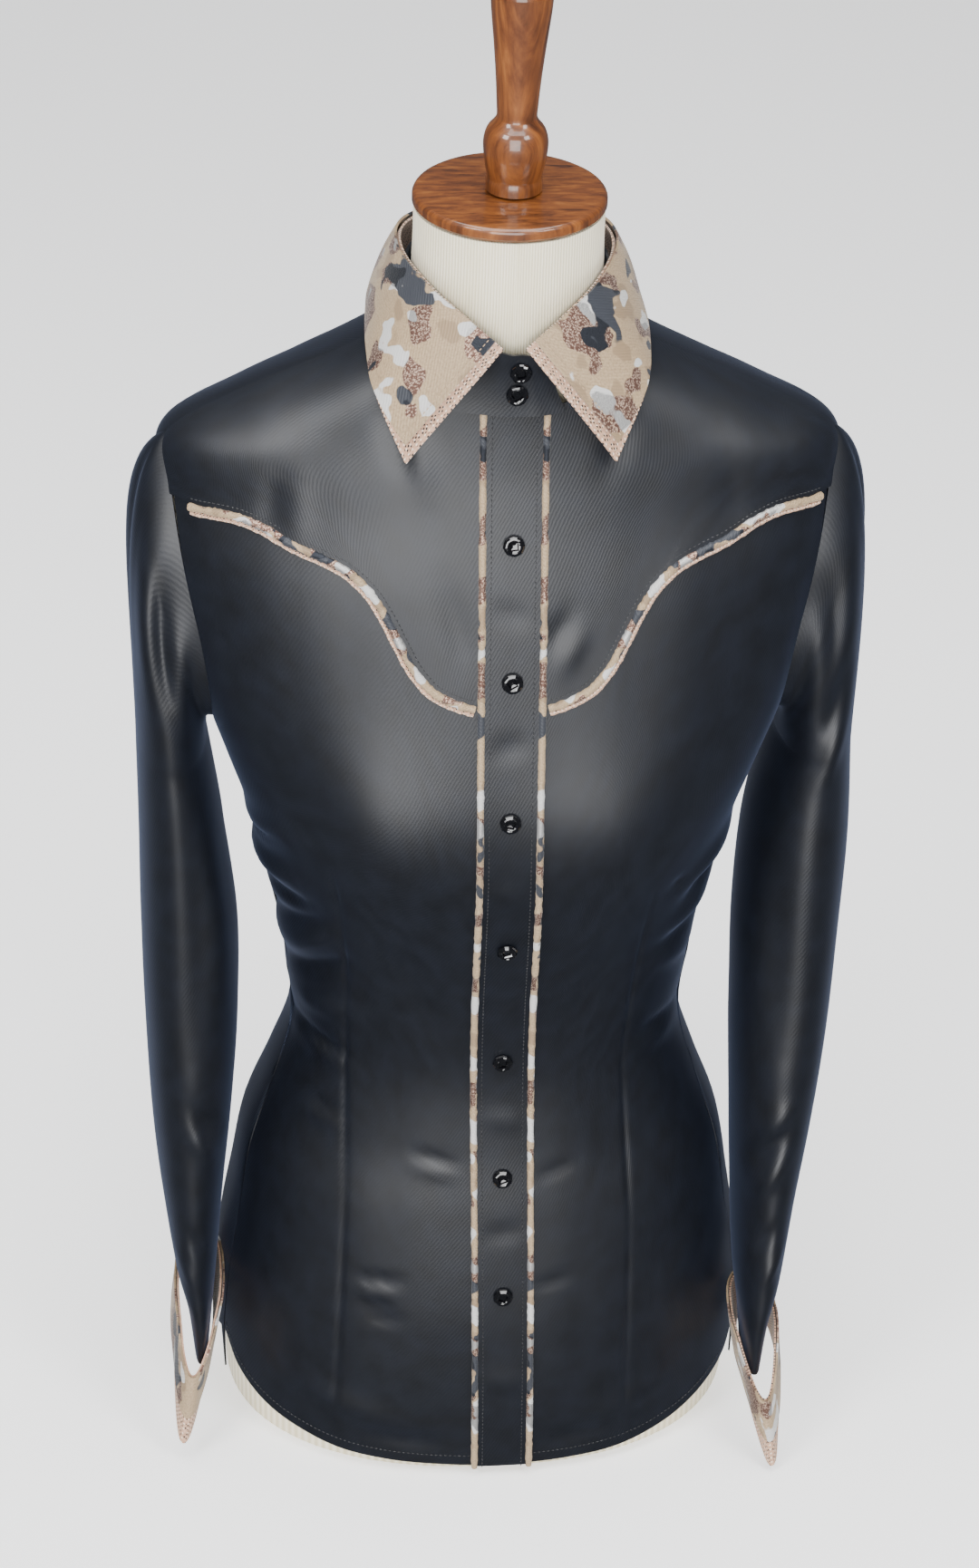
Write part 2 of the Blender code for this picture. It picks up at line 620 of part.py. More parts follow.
def add_stand():
    """Neck band: it starts at its rounded end right of the centre and runs round to the same place."""
    columns, bands = 30, 2
    start, finish = -342.0, 16.0
    rows = []
    for band in range(bands + 1):
        v = band / bands
        line = []
        for column in range(columns + 1):
            angle = start + (finish - start) * column / columns
            wrapped = (angle + 180) % 360 - 180
            low = neckline(wrapped)[1] + 3 * SEAM_GAP
            round_off = 0.0
            high = 0.7750 + 0.0285 * min(1.0, abs(wrapped) / 100)
            end = (angle - (finish - 14)) / 14
            if end > 0:
                high -= 0.016 * end ** 2
                round_off = 0.0018
            z = low + (high - low) * v
            lift = 0.0012 - 0.0047 * v * min(1.0, abs(wrapped) / 60) + round_off * min(1.0, 3 * max(end, 0.0))
            spot = skin((wrapped, z), lift)
            spot[2] = z
            line.append(spot)
        rows.append(line)
    add_cloth("collar_stand", rows, SATIN, wall=CLOTH)


# ---------------------------------------------------------------- buttons
def button_mesh():
    """A ten-sided faceted button with a sunken square middle."""
    mesh = bpy.data.meshes.new("button")
    shape = bmesh.new()
    bmesh.ops.create_cone(shape, cap_ends=True, segments=10, radius1=BUTTON_RADIUS * 0.86,
                          radius2=BUTTON_RADIUS, depth=BUTTON_HEIGHT * 0.45)
    bmesh.ops.translate(shape, verts=shape.verts, vec=(0, 0, BUTTON_HEIGHT * 0.225))
    top = max(shape.faces, key=lambda face: face.calc_center_median().z)
    for share, rise in ((0.24, 0.55), (0.20, 0.0), (0.02, -0.28)):
        bmesh.ops.inset_individual(shape, faces=[top], thickness=BUTTON_RADIUS * share)
        bmesh.ops.translate(shape, verts=top.verts, vec=(0, 0, BUTTON_HEIGHT * rise))
    shape.to_mesh(mesh)
    shape.free()
    return mesh


def add_buttons():
    def place(name, point, normal):
        made = add_object(name, button_mesh(), BUTTON_BLACK)
        turn = Vector(normal).to_track_quat("Z", "Y").to_matrix().to_4x4()
        made.matrix_world = Matrix.Translation(Vector(point)) @ turn

    rest = PLACKET_LIFT + PLACKET_WALL + BUTTON_SHANK
    for number, z in enumerate(BUTTON_HEIGHTS, 1):
        angle = front_angle(closing_line(z), z)
        place(f"button_{number}", skin((angle, z), rest), skin_normal(angle, z))
    for number, (x, z) in enumerate(STAND_BUTTONS, 1):
        angle = front_angle(x, z)
        place(f"stand_button_{number}", skin((angle, z), STAND_BUTTON_LIFT), skin_normal(angle, z))


clear_scene()
shirt_parts = bpy.data.collections.new("western_shirt_on_dress_form")
bpy.context.scene.collection.children.link(shirt_parts)
add_form()
add_wood()
add_back()
add_fronts()
add_placket()
add_pipings()
add_sleeves()
add_cuffs()
add_collar()
add_stand()
add_buttons()
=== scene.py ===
"""Looks of a western show shirt worn on a dress form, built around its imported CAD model."""

import json
import math

import bmesh
import bpy
import numpy as np
from mathutils import Matrix, Vector, noise

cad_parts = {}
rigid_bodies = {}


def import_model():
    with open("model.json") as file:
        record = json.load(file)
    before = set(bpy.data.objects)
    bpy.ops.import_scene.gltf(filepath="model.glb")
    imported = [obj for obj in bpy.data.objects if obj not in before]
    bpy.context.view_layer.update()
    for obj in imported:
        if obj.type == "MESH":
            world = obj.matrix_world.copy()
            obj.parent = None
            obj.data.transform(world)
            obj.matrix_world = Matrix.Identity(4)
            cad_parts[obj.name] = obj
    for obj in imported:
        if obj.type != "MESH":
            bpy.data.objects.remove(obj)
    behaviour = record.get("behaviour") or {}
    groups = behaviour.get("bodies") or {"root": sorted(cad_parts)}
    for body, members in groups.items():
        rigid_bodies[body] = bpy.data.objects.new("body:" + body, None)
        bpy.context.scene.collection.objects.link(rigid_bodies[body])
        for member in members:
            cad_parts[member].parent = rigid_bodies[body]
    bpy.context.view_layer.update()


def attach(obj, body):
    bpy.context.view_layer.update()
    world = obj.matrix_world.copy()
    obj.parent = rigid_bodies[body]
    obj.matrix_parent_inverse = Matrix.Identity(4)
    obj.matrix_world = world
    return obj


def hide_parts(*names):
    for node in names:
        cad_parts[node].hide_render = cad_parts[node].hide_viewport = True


for thing in list(bpy.data.objects):
    bpy.data.objects.remove(thing)
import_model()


# ---------------------------------------------------------------- dress form
# A padded torso with a neck, covered in cream ribbed jersey that is drawn tight and stapled under the base.
# Every piece of the shirt takes its shape from the same level sections, kept here.
BODY_COLUMNS = ("z", "half_width", "front", "back", "middle", "roundness")
BODY = np.array((
    (0.000, 0.1730, 0.1335, 0.1160, 0.000, 2.30),
    (0.060, 0.1730, 0.1320, 0.1220, 0.000, 2.30),
    (0.110, 0.1680, 0.1270, 0.1210, 0.000, 2.30),
    (0.150, 0.1610, 0.1200, 0.1130, 0.000, 2.30),
    (0.195, 0.1525, 0.1100, 0.1000, 0.000, 2.30),
    (0.240, 0.1365, 0.0990, 0.0860, 0.000, 2.20),
    (0.287, 0.1225, 0.0920, 0.0760, 0.000, 2.20),
    (0.330, 0.1255, 0.0940, 0.0780, 0.000, 2.20),
    (0.370, 0.1310, 0.1020, 0.0860, 0.000, 2.20),
    (0.410, 0.1400, 0.1130, 0.0940, 0.000, 2.20),
    (0.450, 0.1480, 0.1200, 0.1000, 0.000, 2.25),
    (0.490, 0.1610, 0.1200, 0.1050, 0.000, 2.30),
    (0.530, 0.1740, 0.1140, 0.1070, 0.000, 2.40),
    (0.580, 0.1865, 0.1040, 0.1060, 0.000, 2.40),
    (0.630, 0.1950, 0.0930, 0.1010, 0.000, 2.30),
    (0.670, 0.1970, 0.0830, 0.0890, 0.000, 2.00),
    (0.696, 0.1920, 0.0770, 0.0770, 0.000, 1.90),
    (0.717, 0.1580, 0.0735, 0.0680, -0.002, 1.85),
    (0.734, 0.1240, 0.0715, 0.0620, -0.005, 1.85),
    (0.748, 0.0950, 0.0705, 0.0590, -0.008, 1.90),
    (0.762, 0.0730, 0.0710, 0.0540, -0.011, 1.95),
    (0.780, 0.0620, 0.0735, 0.0480, -0.013, 2.00),
    (0.810, 0.0595, 0.0755, 0.0435, -0.016, 2.00),
    (0.840, 0.0590, 0.0770, 0.0410, -0.018, 2.00),
))
BUST_X, BUST_Z, BUST_RISE = 0.078, 0.475, 0.011
BUST_WIDTH, BUST_HEIGHT = 0.050, 0.055
FORM_INSET, SHOULDER_INSET = 0.0060, 0.0080     # how far the form lies inside the cloth


def smooth_value(xs, ys, x):
    """Smooth curve through a short table, read at x, which may be an array."""
    xs, ys = np.asarray(xs, float), np.asarray(ys, float)
    low = np.clip(np.searchsorted(xs, x) - 1, 0, len(xs) - 2)
    step = xs[low + 1] - xs[low]
    part = (x - xs[low]) / step

    def slope(index):
        before, after = np.maximum(index - 1, 0), np.minimum(index + 1, len(xs) - 1)
        return (ys[after] - ys[before]) / (xs[after] - xs[before]) * step

    return ((2 * part**3 - 3 * part**2 + 1) * ys[low] + (part**3 - 2 * part**2 + part) * slope(low)
            + (3 * part**2 - 2 * part**3) * ys[low + 1] + (part**3 - part**2) * slope(low + 1))


def table_value(rows, key, column=1):
    """Column of a table of rows, read at a value of its first column."""
    table = np.array(rows, dtype=float)
    return smooth_value(table[:, 0], table[:, column], key)


def section(z):
    return [smooth_value(BODY[:, 0], BODY[:, column], z) for column in range(1, len(BODY_COLUMNS))]


def skin_point(angle, z):
    """Point of the body surface at an angle round it and a height; both may be arrays."""
    angle, z = np.broadcast_arrays(np.asarray(angle, float), np.asarray(z, float))
    half, front, back, middle, roundness = section(z)
    sine, cosine = np.sin(np.radians(angle)), np.cos(np.radians(angle))
    power = 2.0 / roundness
    x = half * np.copysign(np.abs(sine) ** power, sine)
    depth = np.abs(cosine) ** power
    rise = sum(np.exp(-((x - side * BUST_X) / BUST_WIDTH) ** 2 - ((z - BUST_Z) / BUST_HEIGHT) ** 2)
               for side in (-1, 1))
    y = np.where(cosine < 0, middle + (back - middle) * depth,
                 middle - (front + middle) * depth - BUST_RISE * rise)
    return np.stack((x, y, z), axis=-1)


def skin_normal(angle, z):
    step_angle, step_z = 1.0, 0.002
    across = skin_point(angle + step_angle, z) - skin_point(angle - step_angle, z)
    upward = skin_point(angle, z + step_z) - skin_point(angle, z - step_z)
    outward = np.cross(across, upward)
    return outward / np.linalg.norm(outward, axis=-1, keepdims=True)


def skin(place, lift=0.0):
    """Body point at (angle, z), moved outward by lift; either may be an array."""
    angle, z = np.asarray(place[0], float), np.asarray(place[1], float)
    return skin_point(angle, z) + skin_normal(angle, z) * np.asarray(lift)[..., None]


def front_angle(x, z):
    """Angle at which the front of the body has the given x."""
    sizes = section(z)
    half, roundness = sizes[0], sizes[4]
    return math.copysign(math.degrees(math.asin(min(1.0, abs(x) / half) ** (roundness / 2))), x)


def node(tree, kind, links=(), **settings):
    """Adds a node; links maps an input's name or number to a value or to an output."""
    made = tree.nodes.new(kind)
    for key, value in settings.items():
        setattr(made, key, value)
    wire(tree, made, links)
    return made


def wire(tree, target, links):
    for key, value in dict(links).items():
        if isinstance(value, bpy.types.NodeSocket):
            tree.links.new(value, target.inputs[key])
        else:
            target.inputs[key].default_value = value


def linear(code):
    """Linear colour of an sRGB hex code."""
    parts = [int(code[k:k + 2], 16) / 255 for k in (1, 3, 5)]
    return tuple(c / 12.92 if c <= 0.04045 else ((c + 0.055) / 1.055) ** 2.4 for c in parts) + (1.0,)


def new_material(name, **values):
    """A Principled material; values are its uniform inputs, with underscores for spaces."""
    made = bpy.data.materials.new(name)
    made.use_nodes = True
    tree = made.node_tree
    shader = tree.nodes["Principled BSDF"]
    for key, value in values.items():
        shader.inputs[key.replace("_", " ")].default_value = value
    return made, tree, shader


def ramp(tree, factor, stops, interpolation="LINEAR"):
    """A colour ramp; stops are (place, hex colour)."""
    made = node(tree, "ShaderNodeValToRGB", {"Fac": factor})
    made.color_ramp.interpolation = interpolation
    while len(made.color_ramp.elements) < len(stops):
        made.color_ramp.elements.new(0.5)
    for element, (place, code) in zip(made.color_ramp.elements, stops):
        element.position = place
        element.color = linear(code)
    return made.outputs["Color"]


def uv_place(tree, scale=(1.0, 1.0, 1.0), turn=0.0):
    """The piece's own cloth coordinates, in metres, scaled."""
    spot = node(tree, "ShaderNodeUVMap", uv_map="cloth")
    return node(tree, "ShaderNodeMapping", {"Vector": spot.outputs["UV"], "Scale": scale,
                                            "Rotation": (0.0, 0.0, turn)}).outputs["Vector"]


def jersey_material():
    """Cream cotton rib: fine upright ribs with painted shade in their grooves, and a soft, slightly uneven tone.
    """
    made, tree, shader = new_material("cream_cotton_rib_jersey", Roughness=0.85, Sheen_Weight=0.25,
                                      Sheen_Roughness=0.5, Specular_IOR_Level=0.2)
    rib = node(tree, "ShaderNodeTexWave", {"Vector": uv_place(tree), "Scale": 1 / 0.0021 / 3.1416 / 2 * 1.0,
                                           "Distortion": 0.0}, bands_direction="X")
    cloud = node(tree, "ShaderNodeTexNoise", {"Vector": uv_place(tree), "Scale": 22.0, "Detail": 3.0})
    tone = ramp(tree, cloud.outputs["Fac"], ((0.3, "#e2d9bd"), (0.7, "#efe8d2")))
    # The grooves between the ribs are painted darker along the same bands as the bump: painted shade.
    shade = node(tree, "ShaderNodeMix", {"Factor": rib.outputs["Fac"], "B": tone, "A": linear("#cfc4a4")},
                 data_type="RGBA")
    bump = node(tree, "ShaderNodeBump", {"Height": rib.outputs["Fac"], "Strength": 0.6, "Distance": 0.0004})
    wire(tree, shader, {"Base Color": shade.outputs[2], "Normal": bump.outputs["Normal"]})
    return made


def link(name, mesh, material):
    """Adds a finished piece to the scene, with its material and smooth shading."""
    made = bpy.data.objects.new(name, mesh)
    bpy.context.scene.collection.objects.link(made)
    mesh.materials.clear()
    mesh.materials.append(material)
    mesh.shade_smooth()
    return made


def grid_mesh(name, rows, closed=False):
    """Mesh of a grid of points with cloth coordinates in metres; faces look along columns x rows."""
    rows = np.array(rows)
    count, columns = rows.shape[:2]
    mesh = bpy.data.meshes.new(name)
    across = columns if closed else columns - 1
    faces = [(r * columns + c, r * columns + (c + 1) % columns, (r + 1) * columns + (c + 1) % columns,
              (r + 1) * columns + c) for r in range(count - 1) for c in range(across)]
    mesh.from_pydata(rows.reshape(-1, 3).tolist(), [], faces)
    wide = np.concatenate((rows, rows[:, :1]), axis=1) if closed else rows
    steps_u = np.linalg.norm(np.diff(wide, axis=1), axis=2).mean(axis=0)
    steps_v = np.linalg.norm(np.diff(rows, axis=0), axis=2).mean(axis=1)
    us, vs = np.concatenate(([0], np.cumsum(steps_u))), np.concatenate(([0], np.cumsum(steps_v)))
    layer = mesh.uv_layers.new(name="cloth")
    places = [(us[c + dc], vs[r + dr]) for r in range(count - 1) for c in range(across)
              for dc, dr in ((0, 0), (1, 0), (1, 1), (0, 1))]
    layer.data.foreach_set("uv", np.array(places, dtype=np.float32).reshape(-1))
    mesh.update()
    return mesh


def evaluated(made):
    """Turns a piece's live modifiers into plain mesh."""
    depsgraph = bpy.context.evaluated_depsgraph_get()
    mesh = bpy.data.meshes.new_from_object(made.evaluated_get(depsgraph), preserve_all_data_layers=True,
                                           depsgraph=depsgraph)
    made.modifiers.clear()
    made.data = mesh
    return made


jersey = jersey_material()
rows = []
for z in np.concatenate((np.linspace(0.0, 0.62, 32), np.linspace(0.64, 0.838, 40))):
    inset = FORM_INSET + SHOULDER_INSET * math.exp(-((z - 0.72) / 0.03) ** 2)
    row = skin((np.arange(96) * 3.75, z), -inset)
    row[:, 2] = z
    rows.append(row)
form = link("form_jersey", grid_mesh("form_jersey", rows, closed=True), jersey)
shape = bmesh.new()
shape.from_mesh(form.data)
bmesh.ops.holes_fill(shape, edges=[edge for edge in shape.edges if edge.is_boundary])
bmesh.ops.recalc_face_normals(shape, faces=shape.faces)
shape.to_mesh(form.data)
shape.free()
form.data.set_sharp_from_angle(angle=math.radians(50))
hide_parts("form_torso")
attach(form, "root")


# ---------------------------------------------------------------- neck cap and finial
# A turned disc and knob of walnut-brown wood, varnished; the cap is screwed down on the neck and the
# knob into the cap. Both are lathe work with small rounded edges.
def wood_material():
    """Varnished walnut: streaky grain under a clear gloss coat."""
    made, tree, shader = new_material("varnished_walnut", Roughness=0.38, Coat_Weight=0.8,
                                      Coat_Roughness=0.08, Specular_IOR_Level=0.4)
    spot = node(tree, "ShaderNodeTexCoord").outputs["Object"]
    long = node(tree, "ShaderNodeMapping", {"Vector": spot, "Scale": (60.0, 260.0, 22.0),
                                            "Rotation": (0.0, 0.05, 0.4)}).outputs["Vector"]
    streak = node(tree, "ShaderNodeTexNoise", {"Vector": long, "Scale": 1.0, "Detail": 5.0,
                                               "Roughness": 0.65, "Distortion": 0.4})
    tone = ramp(tree, streak.outputs["Fac"],
                ((0.28, "#2c1508"), (0.45, "#5c3216"), (0.58, "#74421b"), (0.75, "#8e5828")))
    bump = node(tree, "ShaderNodeBump", {"Height": streak.outputs["Fac"], "Strength": 0.08,
                                         "Distance": 0.0006})
    wire(tree, shader, {"Base Color": tone, "Normal": bump.outputs["Normal"]})
    return made


def turned(name, profile, centre, lean, material):
    """A lathe piece from an outline of (radius, z), top to bottom."""
    smooth = []
    for (r0, z0), (r1, z1) in zip(profile, profile[1:]):
        smooth += [(r0 + (r1 - r0) * k / 3, z0 + (z1 - z0) * k / 3) for k in range(3)]
    smooth.append(profile[-1])
    steps = 72
    rows = [[(r * math.cos(2 * math.pi * k / steps), r * math.sin(2 * math.pi * k / steps), z)
             for k in range(steps)] for r, z in smooth[::-1] if r > 0]
    mesh = grid_mesh(name, rows, closed=True)
    shape = bmesh.new()
    shape.from_mesh(mesh)
    bmesh.ops.holes_fill(shape, edges=[edge for edge in shape.edges if edge.is_boundary])
    bmesh.ops.recalc_face_normals(shape, faces=shape.faces)
    base = Vector((*centre, profile[-1][1]))
    turn = Matrix.Rotation(lean, 4, "Y")
    foot = Vector((0, 0, profile[-1][1]))
    for vertex in shape.verts:
        vertex.co = base + turn @ (vertex.co - foot)
    shape.to_mesh(mesh)
    shape.free()
    made = link(name, mesh, material)
    mesh.set_sharp_from_angle(angle=math.radians(40))
    return made


wood = wood_material()
CAP_CENTRE, CAP_RADIUS, CAP_BOTTOM, CAP_TOP, CAP_ROUND = (0.0, -0.018), 0.054, 0.8385, 0.8465, 0.003
cap_outline = [(0.0, CAP_TOP), (CAP_RADIUS - CAP_ROUND, CAP_TOP)]
cap_outline += [(CAP_RADIUS - CAP_ROUND + CAP_ROUND * math.sin(a), CAP_TOP - CAP_ROUND + CAP_ROUND * math.cos(a))
                for a in np.radians((20, 40, 60, 80, 90))]
cap_outline += [(CAP_RADIUS, CAP_BOTTOM + 0.002), (CAP_RADIUS - 0.002, CAP_BOTTOM), (0.0, CAP_BOTTOM)]
neck_cap = turned("neck_cap_wood", cap_outline, CAP_CENTRE, 0.0, wood)
finial_table = np.array([(0.0172, 0.961), (0.0165, 0.951), (0.0142, 0.930), (0.0124, 0.911), (0.0113, 0.895),
                         (0.0112, 0.8895), (0.0128, 0.8868), (0.0160, 0.8828), (0.0178, 0.8765),
                         (0.0177, 0.870), (0.0166, 0.862), (0.0152, 0.8555)])
heights = np.linspace(0.961, 0.8555, 60)
finial_outline = [(0.0, 0.974), (0.009, 0.9725), (0.0150, 0.968)]
finial_outline += [(smooth_value(finial_table[::-1, 1], finial_table[::-1, 0], z), z) for z in heights]
finial_outline += [(0.0158, 0.8525), (0.0158, CAP_TOP + 0.0012), (0.0, CAP_TOP + 0.0012)]
finial = turned("finial_wood", finial_outline, (CAP_CENTRE[0] + 0.002, CAP_CENTRE[1]), math.radians(0.8), wood)
for piece, solid in ((neck_cap, "neck_cap"), (finial, "finial")):
    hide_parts(solid)
    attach(piece, "root")


# ---------------------------------------------------------------- satin back
# One panel of blue-black satin from side seam to side seam, shaped by two long darts, with the armholes
# and the back neck cut out of it. The cloth is thin and smooth, and its folds are soft.
CLOTH = 0.0012
UNDERARM_Z, SHOULDER_Z = 0.510, 0.696
SIDE_SEAM = ((0.000, 73), (0.150, 74), (0.290, 80), (0.400, 85), (UNDERARM_Z, 90))
ARMHOLE_FRONT = ((0.00, SHOULDER_Z, 81), (0.18, 0.672, 74), (0.40, 0.632, 69),
                 (0.62, 0.586, 67), (0.78, 0.550, 69), (0.90, 0.522, 76), (1.00, UNDERARM_Z, 90))
ARMHOLE_BACK = ((0.00, SHOULDER_Z, 81), (0.18, 0.676, 97), (0.40, 0.634, 108),
                (0.62, 0.586, 112), (0.78, 0.550, 110), (0.90, 0.522, 102), (1.00, UNDERARM_Z, 90))
NECKLINE = ((0, 0.740), (35, 0.745), (81, 0.764), (130, 0.771), (180, 0.772))     # angle, z
HEM = ((0, 0.008), (26, 0.011), (41, 0.018), (53, 0.026), (65, 0.038), (73, 0.052),
       (84, 0.040), (100, 0.020), (140, 0.010), (180, 0.010))
CREASE_COLUMNS = ("x0", "z0", "x1", "z1", "width", "depth")
BACK_CREASES = (
    (-0.080, 0.440, -0.070, 0.250, 0.0030, -0.0014), (-0.070, 0.250, -0.078, 0.060, 0.0030, -0.0012),
    (0.082, 0.440, 0.071, 0.250, 0.0030, -0.0014), (0.071, 0.250, 0.079, 0.060, 0.0030, -0.0012),
    (-0.120, 0.318, -0.055, 0.296, 0.0090, 0.0035), (-0.110, 0.300, -0.045, 0.281, 0.0070, -0.0030),
    (-0.100, 0.272, -0.058, 0.262, 0.0060, 0.0022), (0.118, 0.332, 0.060, 0.305, 0.0090, 0.0036),
    (0.108, 0.308, 0.046, 0.286, 0.0080, -0.0032), (0.098, 0.276, 0.050, 0.268, 0.0050, 0.0020),
    (-0.020, 0.300, 0.022, 0.306, 0.0080, 0.0016), (-0.150, 0.560, -0.110, 0.600, 0.0120, 0.0026),
    (0.152, 0.548, 0.114, 0.590, 0.0100, 0.0024), (-0.060, 0.690, -0.020, 0.560, 0.0160, -0.0012),
    (0.064, 0.680, 0.030, 0.550, 0.0150, -0.0014), (0.030, 0.180, 0.036, 0.040, 0.0150, 0.0016),
)


def armhole(table, side):
    def line(t):
        return side * table_value(table, t, 2), table_value(table, t, 1)
    return line


def neckline(angle):
    return angle, table_value(NECKLINE, abs(angle))


def hem(angle):
    return angle, table_value(HEM, abs(angle))


def satin_material():
    """Blue-black satin: almost no colour of its own, with a broad soft shine and a faint float weave."""
    made, tree, shader = new_material("blue_black_satin", Roughness=0.44, Specular_IOR_Level=0.60,
                                      Sheen_Weight=0.45, Sheen_Roughness=0.35)
    shader.inputs["Sheen Tint"].default_value = linear("#5a6580")
    # The real floats are about 0.3 mm; they are drawn at 0.9 mm.
    twill = node(tree, "ShaderNodeTexWave", {"Vector": uv_place(tree, turn=0.5), "Scale": 175.0,
                                             "Distortion": 1.5, "Detail": 1.0, "Detail Scale": 2.0})
    cloud = node(tree, "ShaderNodeTexNoise", {"Vector": uv_place(tree), "Scale": 60.0, "Detail": 3.0})
    tone = ramp(tree, cloud.outputs["Fac"], ((0.3, "#06080e"), (0.7, "#0b0f18")))
    bump = node(tree, "ShaderNodeBump", {"Height": twill.outputs["Fac"], "Strength": 0.25,
                                         "Distance": 0.00012})
    wire(tree, shader, {"Base Color": tone, "Normal": bump.outputs["Normal"]})
    return made


def crease_lift(creases, x, z):
    """Height of the soft ridges and troughs over arrays of places on the cloth."""
    total = np.zeros_like(x)
    for x0, z0, x1, z1, width, depth in creases:
        run, rise = x1 - x0, z1 - z0
        near = np.clip(((x - x0) * run + (z - z0) * rise) / (run * run + rise * rise), 0.0, 1.0)
        away = np.hypot(x - x0 - near * run, z - z0 - near * rise)
        total += depth * np.exp(-(away / width) ** 2) * (0.30 + 0.70 * np.sin(math.pi * near))
    return total


def ripple(x, z, seed, size=0.0007):
    """Slight unevenness of cloth that isn't held flat."""
    flat = [noise.noise(Vector((a * 16, b * 11, seed))) + noise.noise(Vector((a * 34, b * 9, seed + 7)))
            for a, b in zip(x.ravel(), z.ravel())]
    return size * np.array(flat).reshape(x.shape)


def shell(name, rows, material, wall=CLOTH, closed=False):
    """A cloth piece: its outer face through rows of points, its wall outwards."""
    made = link(name, grid_mesh(name, rows, closed), material)
    solid = made.modifiers.new("wall", "SOLIDIFY")
    solid.thickness = wall
    solid.offset = 1.0
    evaluated(made)
    made.data.set_sharp_from_angle(angle=math.radians(65))
    return made


def panel(bottom, top, first, last, columns, rows):
    """Arrays of angle and z inside four edge lines, each a function of 0..1."""
    u, v = np.linspace(0, 1, columns + 1)[None, :, None], np.linspace(0, 1, rows + 1)[:, None, None]
    low, high = (np.array([line(x) for x in u.ravel()], float)[None] for line in (bottom, top))
    near, far = (np.array([line(x) for x in v.ravel()], float)[:, None] for line in (first, last))
    return ((1 - v) * low + v * high + (1 - u) * near + u * far
            - (1 - u) * (1 - v) * low[:, :1] - u * (1 - v) * low[:, -1:]
            - (1 - u) * v * high[:, :1] - u * v * high[:, -1:])


def worn_panel(name, grid, creases, seed, lift=0.0, wall=CLOTH, size=0.0007):
    """A satin panel on the body with its creases; grid holds angle and z."""
    angle, z = grid[..., 0], grid[..., 1]
    x = skin_point(angle, z)[..., 0]
    extra = crease_lift(creases, x, z) + ripple(x, z, seed, size)
    made = shell(name, skin((angle, z), lift + np.maximum(extra, -0.0040)), satin, wall)
    return made


satin = satin_material()
UNDERARM_SHARE = 0.5


def back_edge(side):
    def line(t):
        if t <= UNDERARM_SHARE:
            z = hem(100)[1] + (UNDERARM_Z - hem(100)[1]) * t / UNDERARM_SHARE
            return 180 + side * (180 - table_value(SIDE_SEAM, z) - 0.05), z
        angle, z = armhole(ARMHOLE_BACK, 1)(1 - (t - UNDERARM_SHARE) / (1 - UNDERARM_SHARE))
        return 180 + side * (180 - angle), z
    return line


def back_bottom(u):
    angle = back_edge(-1)(0)[0] + (back_edge(1)(0)[0] - back_edge(-1)(0)[0]) * u
    return angle, hem(180 - abs(180 - angle))[1] if 0 < u < 1 else back_edge(1)(0)[1]


def back_top(u):
    shoulder, seam = 0.3, 81.1
    side = -1 if u < 0.5 else 1
    reach = min(u, 1 - u) / shoulder
    if reach <= 1:
        return 180 + side * (180 - seam), SHOULDER_Z + (neckline(81)[1] - SHOULDER_Z) * reach
    share = (0.5 - min(u, 1 - u)) / (0.5 - shoulder)
    return 180 + side * (180 - seam) * share, neckline(180 - (180 - seam) * share)[1]


back = worn_panel("back_satin", panel(back_bottom, back_top, back_edge(-1), back_edge(1), 96, 120),
                  BACK_CREASES, 1.5)
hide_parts("back")
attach(back, "root")


